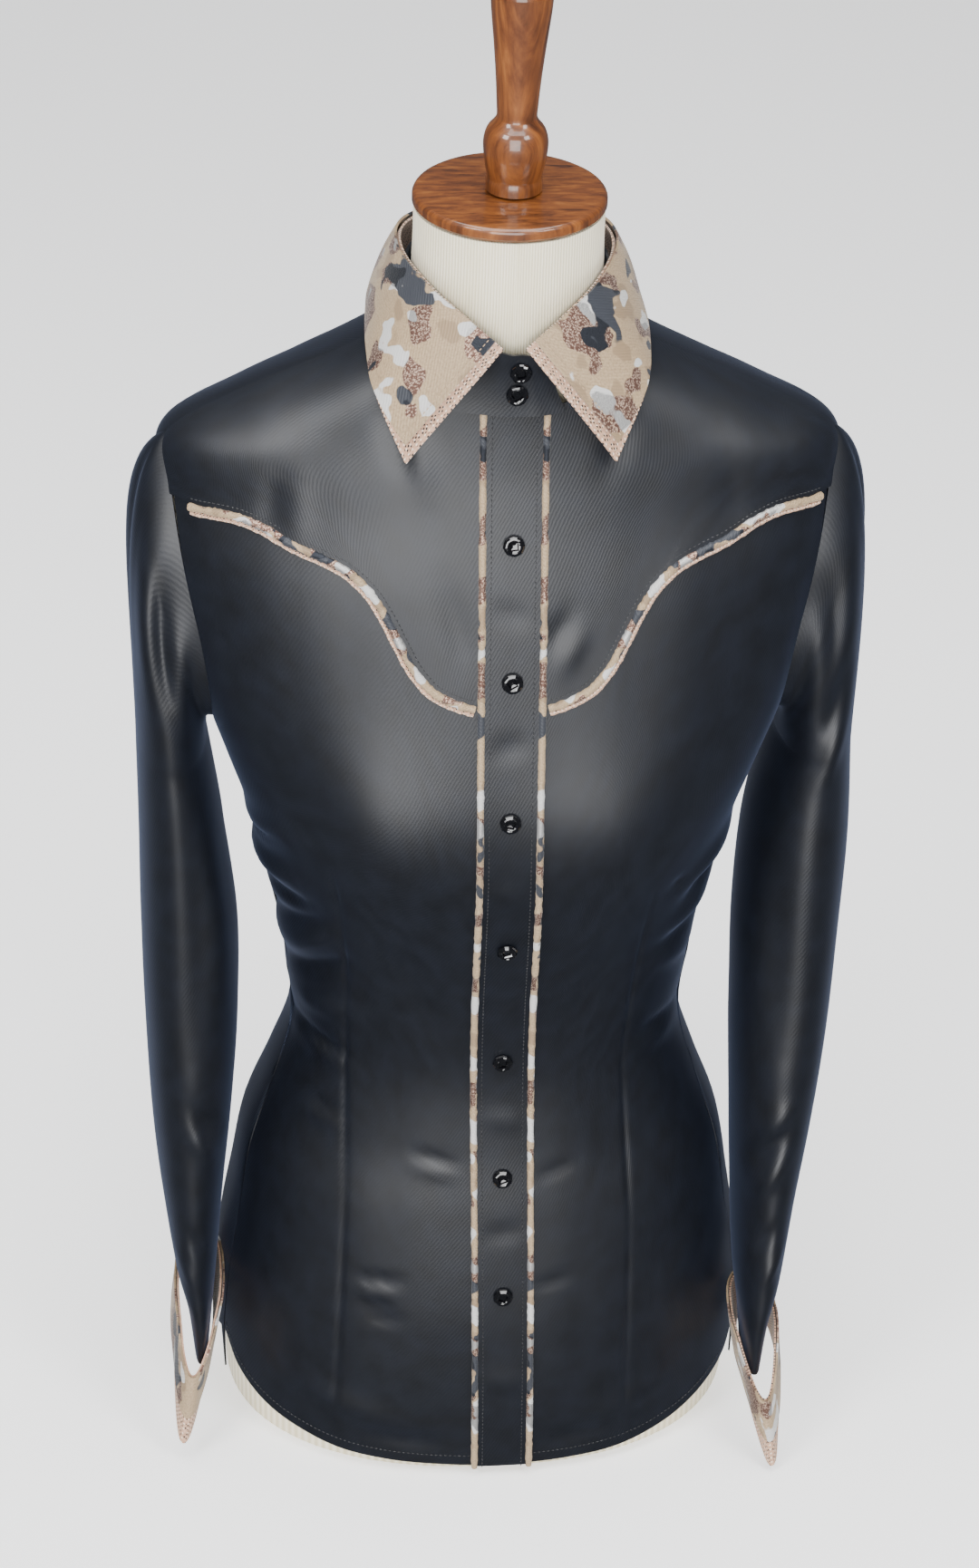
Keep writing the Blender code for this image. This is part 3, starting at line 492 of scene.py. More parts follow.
# ---------------------------------------------------------------- satin fronts
# Two lower fronts, each with a long waist dart and a short side dart, sewn to the yokes above and to the
# placket at the centre. They are drawn tight over the bust, and the waist holds a few crumpled folds.
FRONT_CREASES = {
    "left": (
        (-0.100, 0.452, -0.094, 0.414, 0.0016, -0.0012), (-0.094, 0.414, -0.0895, 0.341, 0.0016, -0.0016),
        (-0.0895, 0.341, -0.0905, 0.209, 0.0016, -0.0014), (-0.0905, 0.209, -0.098, 0.030, 0.0016, -0.0012),
        (-0.155, 0.426, -0.130, 0.459, 0.0026, -0.0034), (-0.150, 0.441, -0.122, 0.470, 0.0080, 0.0030),
        (-0.148, 0.414, -0.120, 0.430, 0.0070, 0.0040), (-0.140, 0.400, -0.112, 0.412, 0.0055, -0.0036),
        (-0.128, 0.352, -0.098, 0.396, 0.0075, 0.0046), (-0.122, 0.338, -0.092, 0.372, 0.0060, -0.0042),
        (-0.135, 0.372, -0.104, 0.404, 0.0060, -0.0034), (-0.118, 0.314, -0.088, 0.330, 0.0070, 0.0024),
        (-0.120, 0.296, -0.090, 0.292, 0.0045, -0.0026), (-0.116, 0.286, -0.086, 0.284, 0.0050, 0.0018),
        (-0.112, 0.252, -0.096, 0.249, 0.0035, -0.0016), (-0.110, 0.246, -0.094, 0.243, 0.0040, 0.0014),
        (-0.086, 0.148, -0.056, 0.149, 0.0030, -0.0013), (-0.084, 0.138, -0.058, 0.138, 0.0030, 0.0012),
        (-0.082, 0.129, -0.062, 0.130, 0.0030, -0.0010), (-0.080, 0.121, -0.056, 0.121, 0.0035, -0.0012),
        (-0.050, 0.236, -0.022, 0.229, 0.0035, -0.0010), (-0.048, 0.226, -0.024, 0.222, 0.0040, 0.0008),
        (-0.130, 0.060, -0.060, 0.040, 0.0100, 0.0018), (-0.080, 0.030, -0.030, 0.026, 0.0070, -0.0016),
        (-0.062, 0.400, -0.040, 0.330, 0.0120, -0.0014),
    ),
    "right": (
        (0.090, 0.433, 0.0805, 0.287, 0.0016, -0.0012), (0.0805, 0.287, 0.0875, 0.180, 0.0016, -0.0014),
        (0.0875, 0.180, 0.0885, 0.030, 0.0016, -0.0012), (0.146, 0.444, 0.118, 0.425, 0.0080, 0.0036),
        (0.142, 0.424, 0.114, 0.408, 0.0060, -0.0036), (0.112, 0.432, 0.102, 0.428, 0.0060, -0.0026),
        (0.132, 0.396, 0.104, 0.388, 0.0070, 0.0028), (0.128, 0.376, 0.100, 0.374, 0.0055, -0.0026),
        (0.124, 0.350, 0.096, 0.362, 0.0075, 0.0022), (0.118, 0.300, 0.092, 0.306, 0.0050, -0.0020),
        (0.116, 0.288, 0.090, 0.291, 0.0050, 0.0016), (0.060, 0.392, 0.044, 0.320, 0.0130, -0.0014),
        (0.052, 0.226, 0.028, 0.220, 0.0040, -0.0009), (0.050, 0.150, 0.028, 0.146, 0.0035, -0.0009),
        (0.120, 0.058, 0.066, 0.034, 0.0100, 0.0016), (0.086, 0.034, 0.034, 0.024, 0.0080, -0.0016),
        (0.140, 0.160, 0.120, 0.120, 0.0120, 0.0014),
    ),
}
PANEL_EDGE, UNDER_YOKE = 0.0165, 0.0045
CENTRE_SHIFT, CENTRE_SLANT, SLANT_TOP = 0.002, 0.014, 0.50     # the closing line slants below SLANT_TOP
YOKE = (                    # lower edge of a front yoke, from the armhole: x, z
    (0.182, 0.6640), (0.155, 0.6665), (0.139, 0.6635), (0.122, 0.6565), (0.105, 0.6510),
    (0.090, 0.6440), (0.078, 0.6330), (0.069, 0.6190), (0.061, 0.6030), (0.053, 0.5885),
    (0.043, 0.5775), (0.030, 0.5710), (0.0199, 0.5680))
MEET = 0.225                # where the yoke line reaches the armhole, as a share down the armhole
FRONT_UNDERARM = 0.70


def closing_line(z):
    """x of the middle of the placket."""
    return CENTRE_SHIFT + CENTRE_SLANT * max(0.0, SLANT_TOP - z)


def yoke_edge(side, drop=0.0):
    """Yoke line from the armhole (t = 0) to the placket (t = 1), lowered along the cloth by drop."""
    lengths = np.concatenate(([0], np.cumsum(np.hypot(*np.diff(np.array(YOKE), axis=0).T))))
    lengths = lengths / lengths[-1]
    xs, zs = np.array(YOKE).T

    def line(t):
        x, z = smooth_value(lengths, xs, t), smooth_value(lengths, zs, t)
        before, after = max(0.0, t - 0.02), min(1.0, t + 0.02)
        ahead = [smooth_value(lengths, row, after) - smooth_value(lengths, row, before) for row in (xs, zs)]
        normal = skin_normal(front_angle(x, z), z)
        upright = math.hypot(normal[0], normal[1])
        slant = abs(normal[1]) / upright
        across, upward = ahead[0] / slant, ahead[1] / upright
        run = math.hypot(across, upward)
        x -= drop * slant * upward / run
        z += drop * upright * across / run
        return front_angle(side * x + closing_line(z), z), z
    return line


def placket_edge(side, low, high, offset=PANEL_EDGE):
    def line(t):
        z = low + (high - low) * t
        return front_angle(closing_line(z) + side * offset, z), z
    return line


def front_panel(side, name):
    lower_line, front_armhole = yoke_edge(side, -UNDER_YOKE), armhole(ARMHOLE_FRONT, side)

    def outer(t):
        if t <= FRONT_UNDERARM:
            z = hem(73)[1] + (UNDERARM_Z - hem(73)[1]) * t / FRONT_UNDERARM
            return side * (table_value(SIDE_SEAM, z) - 0.05), z
        share = (t - FRONT_UNDERARM) / (1 - FRONT_UNDERARM)
        angle, z = front_armhole(1 - share * (1 - MEET))
        return angle, z - (z - lower_line(0)[1]) * share ** 6

    def inner(t):
        return placket_edge(side, hem(0)[1], lower_line(1)[1])(t)

    def bottom(u):
        angle = outer(0)[0] + (inner(0)[0] - outer(0)[0]) * u
        return angle, hem(angle)[1]

    def top(u):
        return outer(1) if u == 0 else inner(1) if u == 1 else lower_line(u)

    grid = panel(bottom, top, outer, inner, 84, 132)
    if side > 0:
        grid = grid[:, ::-1]
    made = worn_panel(f"front_{name}_satin", grid, FRONT_CREASES[name], 3.0 + side, size=0.0005)
    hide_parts(f"front_{name}")
    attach(made, "root")
    return made


front_left, front_right = front_panel(-1, "left"), front_panel(1, "right")


# ---------------------------------------------------------------- satin front yokes
# Two shaped yokes lap over the fronts; their swooping lower edges are turned under and topstitched.
YOKE_LIFT = 0.0014
YOKE_CREASES = {
    "left": ((-0.136, 0.660, -0.128, 0.690, 0.0070, -0.0012), (-0.120, 0.655, -0.116, 0.690, 0.0080, 0.0010),
             (-0.070, 0.735, -0.056, 0.700, 0.0070, -0.0020), (-0.058, 0.730, -0.046, 0.690, 0.0080, 0.0016),
             (-0.036, 0.640, -0.024, 0.590, 0.0080, -0.0010)),
    "right": ((0.132, 0.662, 0.122, 0.694, 0.0080, -0.0012), (0.068, 0.732, 0.054, 0.700, 0.0080, -0.0016),
              (0.034, 0.622, 0.022, 0.600, 0.0060, -0.0014), (0.042, 0.610, 0.030, 0.588, 0.0060, 0.0010)),
}


def yoke_panel(side, name):
    yoke_line, front_armhole = yoke_edge(side), armhole(ARMHOLE_FRONT, side)

    def outer(t):
        angle, z = front_armhole(MEET * (1 - t))
        return angle, z + (yoke_line(0)[1] - z) * (1 - t) ** 6

    def inner(t):
        return placket_edge(side, yoke_line(1)[1], neckline(9)[1])(t)

    def bottom(u):
        return outer(0) if u == 0 else inner(0) if u == 1 else yoke_line(u)

    def top(u):
        shoulder, seam = 0.45, 80.9
        if u <= shoulder:
            z = SHOULDER_Z + (neckline(81)[1] - SHOULDER_Z) * u / shoulder
            corner = front_armhole(0)[0]
            return corner + (side * seam - corner) * min(1, 4 * u / shoulder), z
        share = (u - shoulder) / (1 - shoulder)
        angle = seam + (abs(inner(1)[0]) - seam) * share
        return side * angle, neckline(angle)[1]

    grid = panel(bottom, top, outer, inner, 90, 40)
    if side > 0:
        grid = grid[:, ::-1]
    made = worn_panel(f"yoke_{name}_satin", grid, YOKE_CREASES[name], 6.0 + side, lift=YOKE_LIFT, size=0.0004)
    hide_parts(f"yoke_{name}")
    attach(made, "root")
    return made


yoke_left, yoke_right = yoke_panel(-1, "left"), yoke_panel(1, "right")


# ---------------------------------------------------------------- satin sleeves
# Each is one tube of satin set into its armhole; it hangs a little forward and narrows to the wrist, where
# it is pressed flat. Long troughs run down from the sleeve head, and short folds break at the elbow.
# Level rings below the sleeve head: height, outer and inner distance from the middle, front and back.
SLEEVES = {
    "left": ((0.490, 0.2130, 0.1730, -0.056, 0.052), (0.430, 0.2130, 0.1640, -0.064, 0.050),
             (0.365, 0.2135, 0.1560, -0.071, 0.046), (0.300, 0.2125, 0.1575, -0.078, 0.038),
             (0.236, 0.2100, 0.1620, -0.084, 0.029), (0.184, 0.2060, 0.1670, -0.089, 0.019),
             (0.126, 0.1985, 0.1725, -0.094, 0.006), (0.100, 0.1915, 0.1755, -0.0955, -0.004),
             (0.066, 0.1870, 0.1790, -0.0945, -0.010)),
    "right": ((0.490, 0.2170, 0.1730, -0.056, 0.052), (0.430, 0.2190, 0.1590, -0.066, 0.050),
              (0.365, 0.2170, 0.1530, -0.076, 0.044), (0.300, 0.2130, 0.1540, -0.087, 0.032),
              (0.236, 0.2060, 0.1570, -0.098, 0.017), (0.184, 0.1980, 0.1590, -0.107, 0.002),
              (0.126, 0.1880, 0.1610, -0.117, -0.036), (0.100, 0.1810, 0.1640, -0.1195, -0.058),
              (0.066, 0.1765, 0.1675, -0.1200, -0.066)),
}
SLEEVE_CREASES = {          # turn round the sleeve (90 is the front), height, to the same, width, depth
    "left": ((78, 0.640, 96, 0.545, 0.0090, -0.0042), (112, 0.600, 120, 0.520, 0.0080, 0.0032),
             (60, 0.610, 66, 0.530, 0.0110, 0.0026), (110, 0.450, 96, 0.300, 0.0120, -0.0030),
             (130, 0.460, 126, 0.330, 0.0110, 0.0024), (60, 0.400, 48, 0.240, 0.0160, 0.0018),
             (94, 0.262, 130, 0.238, 0.0070, -0.0036), (90, 0.246, 124, 0.222, 0.0070, 0.0028),
             (80, 0.170, 118, 0.150, 0.0080, -0.0030), (50, 0.150, 92, 0.128, 0.0070, 0.0020),
             (200, 0.420, 215, 0.280, 0.0120, -0.0024), (300, 0.520, 290, 0.380, 0.0140, -0.0024),
             (270, 0.330, 300, 0.300, 0.0090, 0.0024), (262, 0.316, 296, 0.286, 0.0080, -0.0024)),
    "right": ((70, 0.556, 96, 0.505, 0.0110, -0.0040), (62, 0.520, 88, 0.480, 0.0080, 0.0030),
              (110, 0.610, 118, 0.520, 0.0080, 0.0030), (92, 0.640, 96, 0.560, 0.0090, -0.0030),
              (120, 0.450, 104, 0.300, 0.0120, -0.0034), (60, 0.420, 52, 0.260, 0.0150, 0.0020),
              (88, 0.244, 132, 0.214, 0.0070, -0.0040), (84, 0.226, 128, 0.196, 0.0070, 0.0032),
              (80, 0.262, 122, 0.240, 0.0070, 0.0024), (86, 0.176, 120, 0.158, 0.0070, -0.0034),
              (60, 0.160, 100, 0.138, 0.0070, 0.0022), (200, 0.400, 214, 0.260, 0.0120, -0.0024),
              (300, 0.500, 288, 0.360, 0.0140, -0.0024), (268, 0.320, 300, 0.292, 0.0080, 0.0024)),
}
DEGREE = 0.00062            # metres of cloth to a degree round a sleeve
HEAD_ROWS, TUBE_ROWS, ROUND = 34, 110, 84


def ring(side, outer, inner, front, back, z, turn):
    """Point of a level oval: turn 0 is outermost, 90 front, 180 innermost, 270 back."""
    angle = math.radians(turn)
    x = (outer + inner) / 2 + (outer - inner) / 2 * math.cos(angle)
    y = (front + back) / 2 - (back - front) / 2 * math.sin(angle)
    return np.array((side * x, y, z))


def armhole_point(side, turn):
    """Where the sleeve is sewn to the edge of the body panels."""
    table = ARMHOLE_FRONT if turn <= 180 else ARMHOLE_BACK
    share = turn / 180 if turn <= 180 else (360 - turn) / 180
    return skin(armhole(table, side)(share), 0.0002) + np.array((side * 0.0006, 0.0, 0.0))


def sleeve(side, name):
    table = np.array(SLEEVES[name])[::-1]
    creases = [(t0 * DEGREE, z0, t1 * DEGREE, z1, width, depth)
               for t0, z0, t1, z1, width, depth in SLEEVE_CREASES[name]]
    rows = []
    for step in range(HEAD_ROWS):
        t = step / HEAD_ROWS
        line = []
        for column in range(ROUND):
            turn = 360 * column / ROUND
            start, end = armhole_point(side, turn), ring(side, *table[-1][1:], table[-1][0], turn)
            reach = np.linalg.norm(end - start)
            top = max(0.0, math.cos(math.radians(turn))) ** 1.5
            leave = np.array((side * (0.66 - 0.22 * top), 0.0, 0.10 - 0.42 * top)) * reach
            arrive = np.array((0.0, 0.0, -0.9)) * reach
            line.append((2 * t**3 - 3 * t**2 + 1) * start + (t**3 - 2 * t**2 + t) * leave
                        + (3 * t**2 - 2 * t**3) * end + (t**3 - t**2) * arrive)
        rows.append(line)
    for z in np.linspace(table[-1][0], table[0][0], TUBE_ROWS):
        sizes = [smooth_value(table[:, 0], table[:, k], z) for k in range(1, 5)]
        rows.append([ring(side, *sizes, z, 360 * column / ROUND) for column in range(ROUND)])
    rows = np.array(rows)
    middles = rows.mean(axis=1, keepdims=True)
    outward = rows - middles
    outward[:, :, 2] *= 0.3
    outward /= np.linalg.norm(outward, axis=2, keepdims=True)
    index = np.arange(len(rows))
    held = np.minimum(1.0, index / 10) * np.minimum(1.0, (len(rows) - 1 - index) / 12)
    turns = np.broadcast_to(np.arange(ROUND) * (360 / ROUND) * DEGREE, rows.shape[:2])
    extra = crease_lift(creases, turns, rows[:, :, 2]) + ripple(turns, rows[:, :, 2], 12.0 + side)
    rows += outward * (extra * held[:, None])[..., None]
    if side > 0:
        rows = rows[:, ::-1]
    made = shell(f"sleeve_{name}_satin", rows[::-1], satin, closed=True)
    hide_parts(f"sleeve_{name}")
    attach(made, "root")
    return made


sleeve_left, sleeve_right = sleeve(-1, "left"), sleeve(1, "right")


# ---------------------------------------------------------------- placket
# The button strip is a doubled band of satin down the front, straight at the top and leaning slightly to
# the wearer's left below the bust. Long sprung creases cross it between the buttons.
PLACKET_HALF, PLACKET_LIFT, PLACKET_WALL = 0.0160, 0.0015, 0.0014
PLACKET_CREASES = ((-0.010, 0.625, 0.012, 0.618, 0.0060, -0.0007), (-0.012, 0.540, 0.012, 0.546, 0.0070, -0.0008),
                   (-0.010, 0.450, 0.014, 0.444, 0.0060, 0.0008), (-0.008, 0.352, 0.016, 0.358, 0.0060, -0.0008),
                   (-0.006, 0.262, 0.018, 0.258, 0.0060, 0.0007), (-0.006, 0.182, 0.020, 0.186, 0.0060, -0.0007),
                   (-0.004, 0.080, 0.022, 0.074, 0.0080, 0.0008))
placket_low, placket_high = hem(0)[1], neckline(0)[1]
strip = [placket_edge(1, placket_low, placket_high, PLACKET_HALF * (k / 10 - 1)) for k in range(21)]
placket = worn_panel("placket_satin", np.array([[line(row / 160) for line in strip] for row in range(161)]),
                     PLACKET_CREASES, 21.0, lift=PLACKET_LIFT, wall=PLACKET_WALL, size=0.0003)
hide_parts("placket")
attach(placket, "root")


# ---------------------------------------------------------------- brocade pipings
# Bias strips of brocade folded round a cord and caught in the seams: one down each side of the placket, a
# thick one under each yoke edge, and below that a thin one in the paler brocade of the under leaves.
def brocade_material():
    """Tan jacquard with blotches of charcoal, silver and dark tan, and areas of coppery pebbles with a painted
    glint at each middle and painted shade at each rim.
    """
    made, tree, shader = new_material("tan_blotch_brocade", Roughness=0.55, Sheen_Weight=0.2,
                                      Sheen_Roughness=0.4)
    spot = uv_place(tree)
    bend = node(tree, "ShaderNodeTexNoise", {"Vector": spot, "Scale": 70.0, "Detail": 2.0})
    soft = node(tree, "ShaderNodeMix", {"Factor": 0.012, "A": spot, "B": bend.outputs["Color"]},
                data_type="VECTOR")
    warped = soft.outputs[1]

    def blotch(shift, scale, low, high):
        moved = node(tree, "ShaderNodeMapping", {"Vector": warped, "Location": shift}).outputs["Vector"]
        field = node(tree, "ShaderNodeTexNoise", {"Vector": moved, "Scale": scale, "Detail": 0.6})
        return node(tree, "ShaderNodeMapRange", {"Value": field.outputs["Fac"], "From Min": low,
                                                 "From Max": high}).outputs["Result"]

    def over(base, code, mask):
        top = linear(code) if isinstance(code, str) else code
        return node(tree, "ShaderNodeMix", {"Factor": mask, "A": base, "B": top}, data_type="RGBA").outputs[2]

    grain = node(tree, "ShaderNodeTexNoise", {"Vector": spot, "Scale": 900.0, "Detail": 2.0})
    colour = ramp(tree, grain.outputs["Fac"], ((0.3, "#8a7559"), (0.7, "#a48e70")))
    colour = over(colour, "#857056", blotch((3.1, 0.4, 0), 62.0, 0.58, 0.61))
    pebble = node(tree, "ShaderNodeTexVoronoi", {"Vector": spot, "Scale": 1100.0})
    # Each coppery pebble is painted pale at its middle and dark at its rim: a painted glint and painted shade
    # over its own colour.
    pebble_colour_with_painted_glints = ramp(tree, pebble.outputs["Distance"], ((0.15, "#d9bda8"), (0.6, "#6b4f45")))
    glitter = blotch((0.2, 5.3, 0), 55.0, 0.56, 0.575)
    colour = over(colour, pebble_colour_with_painted_glints, glitter)
    colour = over(colour, "#b4b3b1", blotch((7.7, 2.9, 0), 60.0, 0.64, 0.65))
    colour = over(colour, "#2c2f36", blotch((1.9, 8.6, 0), 56.0, 0.635, 0.645))
    weave = node(tree, "ShaderNodeTexWave", {"Vector": uv_place(tree, turn=0.785), "Scale": 210.0,
                                             "Distortion": 0.6})
    height = node(tree, "ShaderNodeMix", {"Factor": glitter, "A": weave.outputs["Fac"],
                                          "B": pebble.outputs["Distance"]}, data_type="FLOAT")
    bump = node(tree, "ShaderNodeBump", {"Height": height.outputs[0], "Strength": 0.5, "Distance": 0.0003})
    metal = node(tree, "ShaderNodeMath", {0: glitter, 1: 0.75}, operation="MULTIPLY")
    wire(tree, shader, {"Base Color": colour, "Metallic": metal.outputs[0], "Normal": bump.outputs["Normal"]})
    return made


def under_brocade_material():
    """Pinkish beige jacquard with a small figure: diamonds of black dots between pale dots."""
    made, tree, shader = new_material("pink_beige_dot_brocade", Roughness=0.6, Sheen_Weight=0.2,
                                      Sheen_Roughness=0.4)

    def dots(scale, shift, turn, size):
        place = node(tree, "ShaderNodeMapping", {"Vector": uv_place(tree, turn=turn), "Location": shift})
        field = node(tree, "ShaderNodeTexVoronoi", {"Vector": place.outputs["Vector"], "Scale": scale,
                                                    "Randomness": 0.0}, voronoi_dimensions="2D")
        return node(tree, "ShaderNodeMath", {0: field.outputs["Distance"], 1: size},
                    operation="LESS_THAN").outputs[0]

    grain = node(tree, "ShaderNodeTexNoise", {"Vector": uv_place(tree), "Scale": 800.0, "Detail": 2.0})
    ground = ramp(tree, grain.outputs["Fac"], ((0.3, "#a98268"), (0.7, "#c39f86")))
    pale = node(tree, "ShaderNodeMix", {"Factor": dots(420.0, (0.0012, 0, 0), 0.0, 0.20), "A": ground,
                                        "B": linear("#d9c6b4")}, data_type="RGBA")
    dark = node(tree, "ShaderNodeMath", {0: dots(640.0, (0, 0, 0), 0.785, 0.30),
                                         1: dots(210.0, (0.001, 0.001, 0), 0.0, 0.42)}, operation="MULTIPLY")
    full = node(tree, "ShaderNodeMix", {"Factor": dark.outputs[0], "A": pale.outputs[2],
                                        "B": linear("#1c1a1c")}, data_type="RGBA")
    bump = node(tree, "ShaderNodeBump", {"Height": grain.outputs["Fac"], "Strength": 0.4, "Distance": 0.0002})
    wire(tree, shader, {"Base Color": full.outputs[2], "Normal": bump.outputs["Normal"]})
    return made


def piping(name, points, radius, material, solid, pucker=0.0):
    """A round piping: rings of cloth along a line, slightly uneven where the stitches pull it."""
    points = np.array(points)
    ahead = np.gradient(points, axis=0)
    ahead /= np.linalg.norm(ahead, axis=1, keepdims=True)
    rows = []
    for k, (point, along) in enumerate(zip(points, ahead)):
        side_way = np.cross(along, (0.0, 1.0, 0.0))
        side_way /= np.linalg.norm(side_way)
        out_way = np.cross(side_way, along)
        full = radius * (1 + pucker * noise.noise(Vector((k * 0.9, radius * 4000, 2.0))))
        rows.append([point + full * (math.cos(2 * math.pi * c / 14) * side_way
                                     + math.sin(2 * math.pi * c / 14) * out_way) for c in range(14)])
    made = link(name, grid_mesh(name, rows, closed=True), material)
    shape = bmesh.new()
    shape.from_mesh(made.data)
    bmesh.ops.holes_fill(shape, edges=[edge for edge in shape.edges if edge.is_boundary])
    bmesh.ops.recalc_face_normals(shape, faces=shape.faces)
    shape.to_mesh(made.data)
    shape.free()
    made.data.set_sharp_from_angle(angle=math.radians(60))
    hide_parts(solid)
    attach(made, "root")
    return made


brocade, under_brocade = brocade_material(), under_brocade_material()
PIPING_RADIUS, PIPING_LINE, YOKE_PIPING, YOKE_CORD = 0.0021, 0.0175, 0.0024, 0.0014
for side, name in ((-1, "left"), (1, "right")):
    line = placket_edge(side, placket_low - 0.001, placket_high, PIPING_LINE)
    piping(f"placket_piping_{name}_brocade", [skin(line(k / 240), 0.0026) for k in range(241)],
           PIPING_RADIUS, brocade, f"placket_piping_{name}", pucker=0.25)
    upper, lower = yoke_edge(side, 0.0020), yoke_edge(side, 0.0054)
    marks = [0.012 + 0.985 * k / 130 for k in range(131)]
    piping(f"yoke_piping_{name}_brocade", [skin(upper(t), 0.0024) for t in marks], YOKE_PIPING, brocade,
           f"yoke_piping_{name}", pucker=0.35)
    piping(f"yoke_cord_{name}_brocade", [skin(lower(t), 0.0017) for t in marks], YOKE_CORD, under_brocade,
           f"yoke_cord_{name}", pucker=0.35)


# ---------------------------------------------------------------- collar stand
# A doubled satin band round the neck; its rounded front end laps over and closes with two buttons.
def stand_rows(columns, bands):
    start, finish, rounding = -342.0, 16.0, 14.0
    rows = []
    for band in range(bands + 1):
        v = band / bands
        line = []
        for column in range(columns + 1):
            angle = start + (finish - start) * column / columns
            wrapped = (angle + 180) % 360 - 180
            low = neckline(wrapped)[1] + 0.0010 - (0.0045 if abs(wrapped) < 60 else 0.0)
            high = 0.7750 + 0.0285 * min(1.0, abs(wrapped) / 100)
            end = max((angle - (finish - rounding)) / rounding, 0.0)
            high -= 0.016 * end ** 2
            z = low + (high - low) * v
            over = 0.0034 * min(1.0, max(0.0, 1.0 - abs(wrapped) / 60))
            lift = 0.0012 + over - 0.0047 * v * min(1.0, abs(wrapped) / 60) + 0.0020 * min(1.0, 3 * end)
            point = skin((wrapped, z), lift)
            point[2] = z
            line.append(point)
        rows.append(line)
    return rows


stand = shell("collar_stand_satin", stand_rows(150, 12), satin, wall=0.0014)
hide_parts("collar_stand")
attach(stand, "root")


# ---------------------------------------------------------------- collar
# Two pointed leaves sewn to the stand: the wider under leaf in pinkish beige and the top leaf in blotched
# brocade. Both are faced and interfaced, so they stand crisp and curve round the neck without creasing.
# From the front edge to the centre back: the roll line x, y, z and the outer edge x, y, z.
COLLAR = np.array((
    (0.0062, -0.0785, 0.7790, 0.0590, -0.0790, 0.7090),
    (0.0255, -0.0700, 0.7935, 0.0745, -0.0610, 0.7410),
    (0.0450, -0.0520, 0.8050, 0.0780, -0.0370, 0.7570),
    (0.0590, -0.0170, 0.8110, 0.0765, -0.0060, 0.7670),
    (0.0560, 0.0180, 0.8110, 0.0700, 0.0290, 0.7690),
    (0.0340, 0.0440, 0.8080, 0.0430, 0.0560, 0.7700),
    (0.0000, 0.0530, 0.8070, 0.0000, 0.0670, 0.7700),
))
COLLAR_BULGE, COLLAR_STRIP = 0.002, 0.0058


def collar_point(station, down, lift=0.0):
    """station -1..1 from the left front edge to the right, 0 at the back; down 0 at the roll, 1 at the edge."""
    place = 1 - abs(station)
    stations = np.linspace(0, 1, len(COLLAR))
    values = [smooth_value(stations, COLLAR[:, k], place) for k in range(6)]
    roll, edge = np.array(values[:3]), np.array(values[3:])
    point = roll + (edge - roll) * down
    away = np.array((point[0], point[1] + 0.018, 0.0))
    away = away / np.linalg.norm(away)
    point = point + away * (COLLAR_BULGE * 4 * down * (1 - down) + lift)
    point[2] += lift * 0.6
    return point if station > 0 else point * np.array((-1.0, 1.0, 1.0))


def collar_leaf(name, lift, material, solid, wall):
    columns, bands = 120, 22
    rows = []
    for band in range(bands + 1):
        down = band / bands
        line = []
        for column in range(columns + 1):
            station = -1 + 2 * column / columns
            reach = down
            if solid == "collar_top":
                gap = np.linalg.norm(collar_point(1, down) - collar_point(0.95, down)) / 0.05
                station *= 1 - COLLAR_STRIP / gap
                reach = down * (1 - 0.085 * abs(station) ** 6 - 0.01)
            wave = 0.0009 * noise.noise(Vector((station * 6, down * 2.4, lift * 900))) * down
            line.append(collar_point(station, reach, lift + wave))
        rows.append(line)
    made = shell(name, [line[::-1] for line in rows], material, wall=wall)
    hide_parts(solid)
    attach(made, "root")
    return made


collar_under = collar_leaf("collar_under_brocade", 0.0, under_brocade, "collar_under", 0.0012)
collar_top = collar_leaf("collar_top_brocade", 0.0026, brocade, "collar_top", 0.0014)


# ---------------------------------------------------------------- cuffs
# Each is cut like the collar: two leaves of brocade turned back round the flattened wrist, with a deep
# rounded notch at the front that shows the sleeve, and a flared point below it.
# Extents of the top and bottom rims, and rim heights at the front, the sides and the back.
CUFFS = {
    "left": {"top": (0.1965, 0.1700, -0.1000, 0.0020), "bottom": (0.2060, 0.1850, -0.1140, 0.000),
             "top_z": (0.066, 0.102, 0.104), "bottom_z": (0.016, 0.070, 0.080)},
    "right": {"top": (0.1860, 0.1600, -0.1255, -0.0530), "bottom": (0.1940, 0.1750, -0.1400, -0.056),
              "top_z": (0.055, 0.094, 0.098), "bottom_z": (0.005, 0.058, 0.070)},
}


def rim_height(heights, turn):
    front, sides, back = heights
    forward = math.sin(math.radians(turn))
    return sides + (front - sides) * forward ** 2.2 if forward > 0 else sides + (back - sides) * -forward


def cuff_leaf(side, name, leaf, lift, bottom, material, wall):
    sizes, rows = CUFFS[name], []
    for band in range(19):
        v = band / 18
        line = []
        for column in range(96):
            turn = 360 * column / 96
            top_z, bottom_z = rim_height(sizes["top_z"], turn), rim_height(bottom, turn)
            z = top_z + (bottom_z - top_z) * v
            down = (sizes["top_z"][1] - z) / (sizes["top_z"][1] - sizes["bottom_z"][0])
            spread = [a + (b - a) * down for a, b in zip(sizes["top"], sizes["bottom"])]
            wave = 0.0006 * noise.noise(Vector((turn * 0.03, z * 50, 5.0 + side)))
            grow = lift + wave
            line.append(ring(side, *(np.array(spread) + np.array((grow, -grow, -grow, grow))), z, turn))
        rows.append(line)
    if side > 0:
        rows = [line[::-1] for line in rows]
    made = shell(f"cuff_{leaf}_{name}_brocade", rows[::-1], material, wall=wall, closed=True)
    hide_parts(f"cuff_{leaf}_{name}")
    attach(made, "root")
    return made


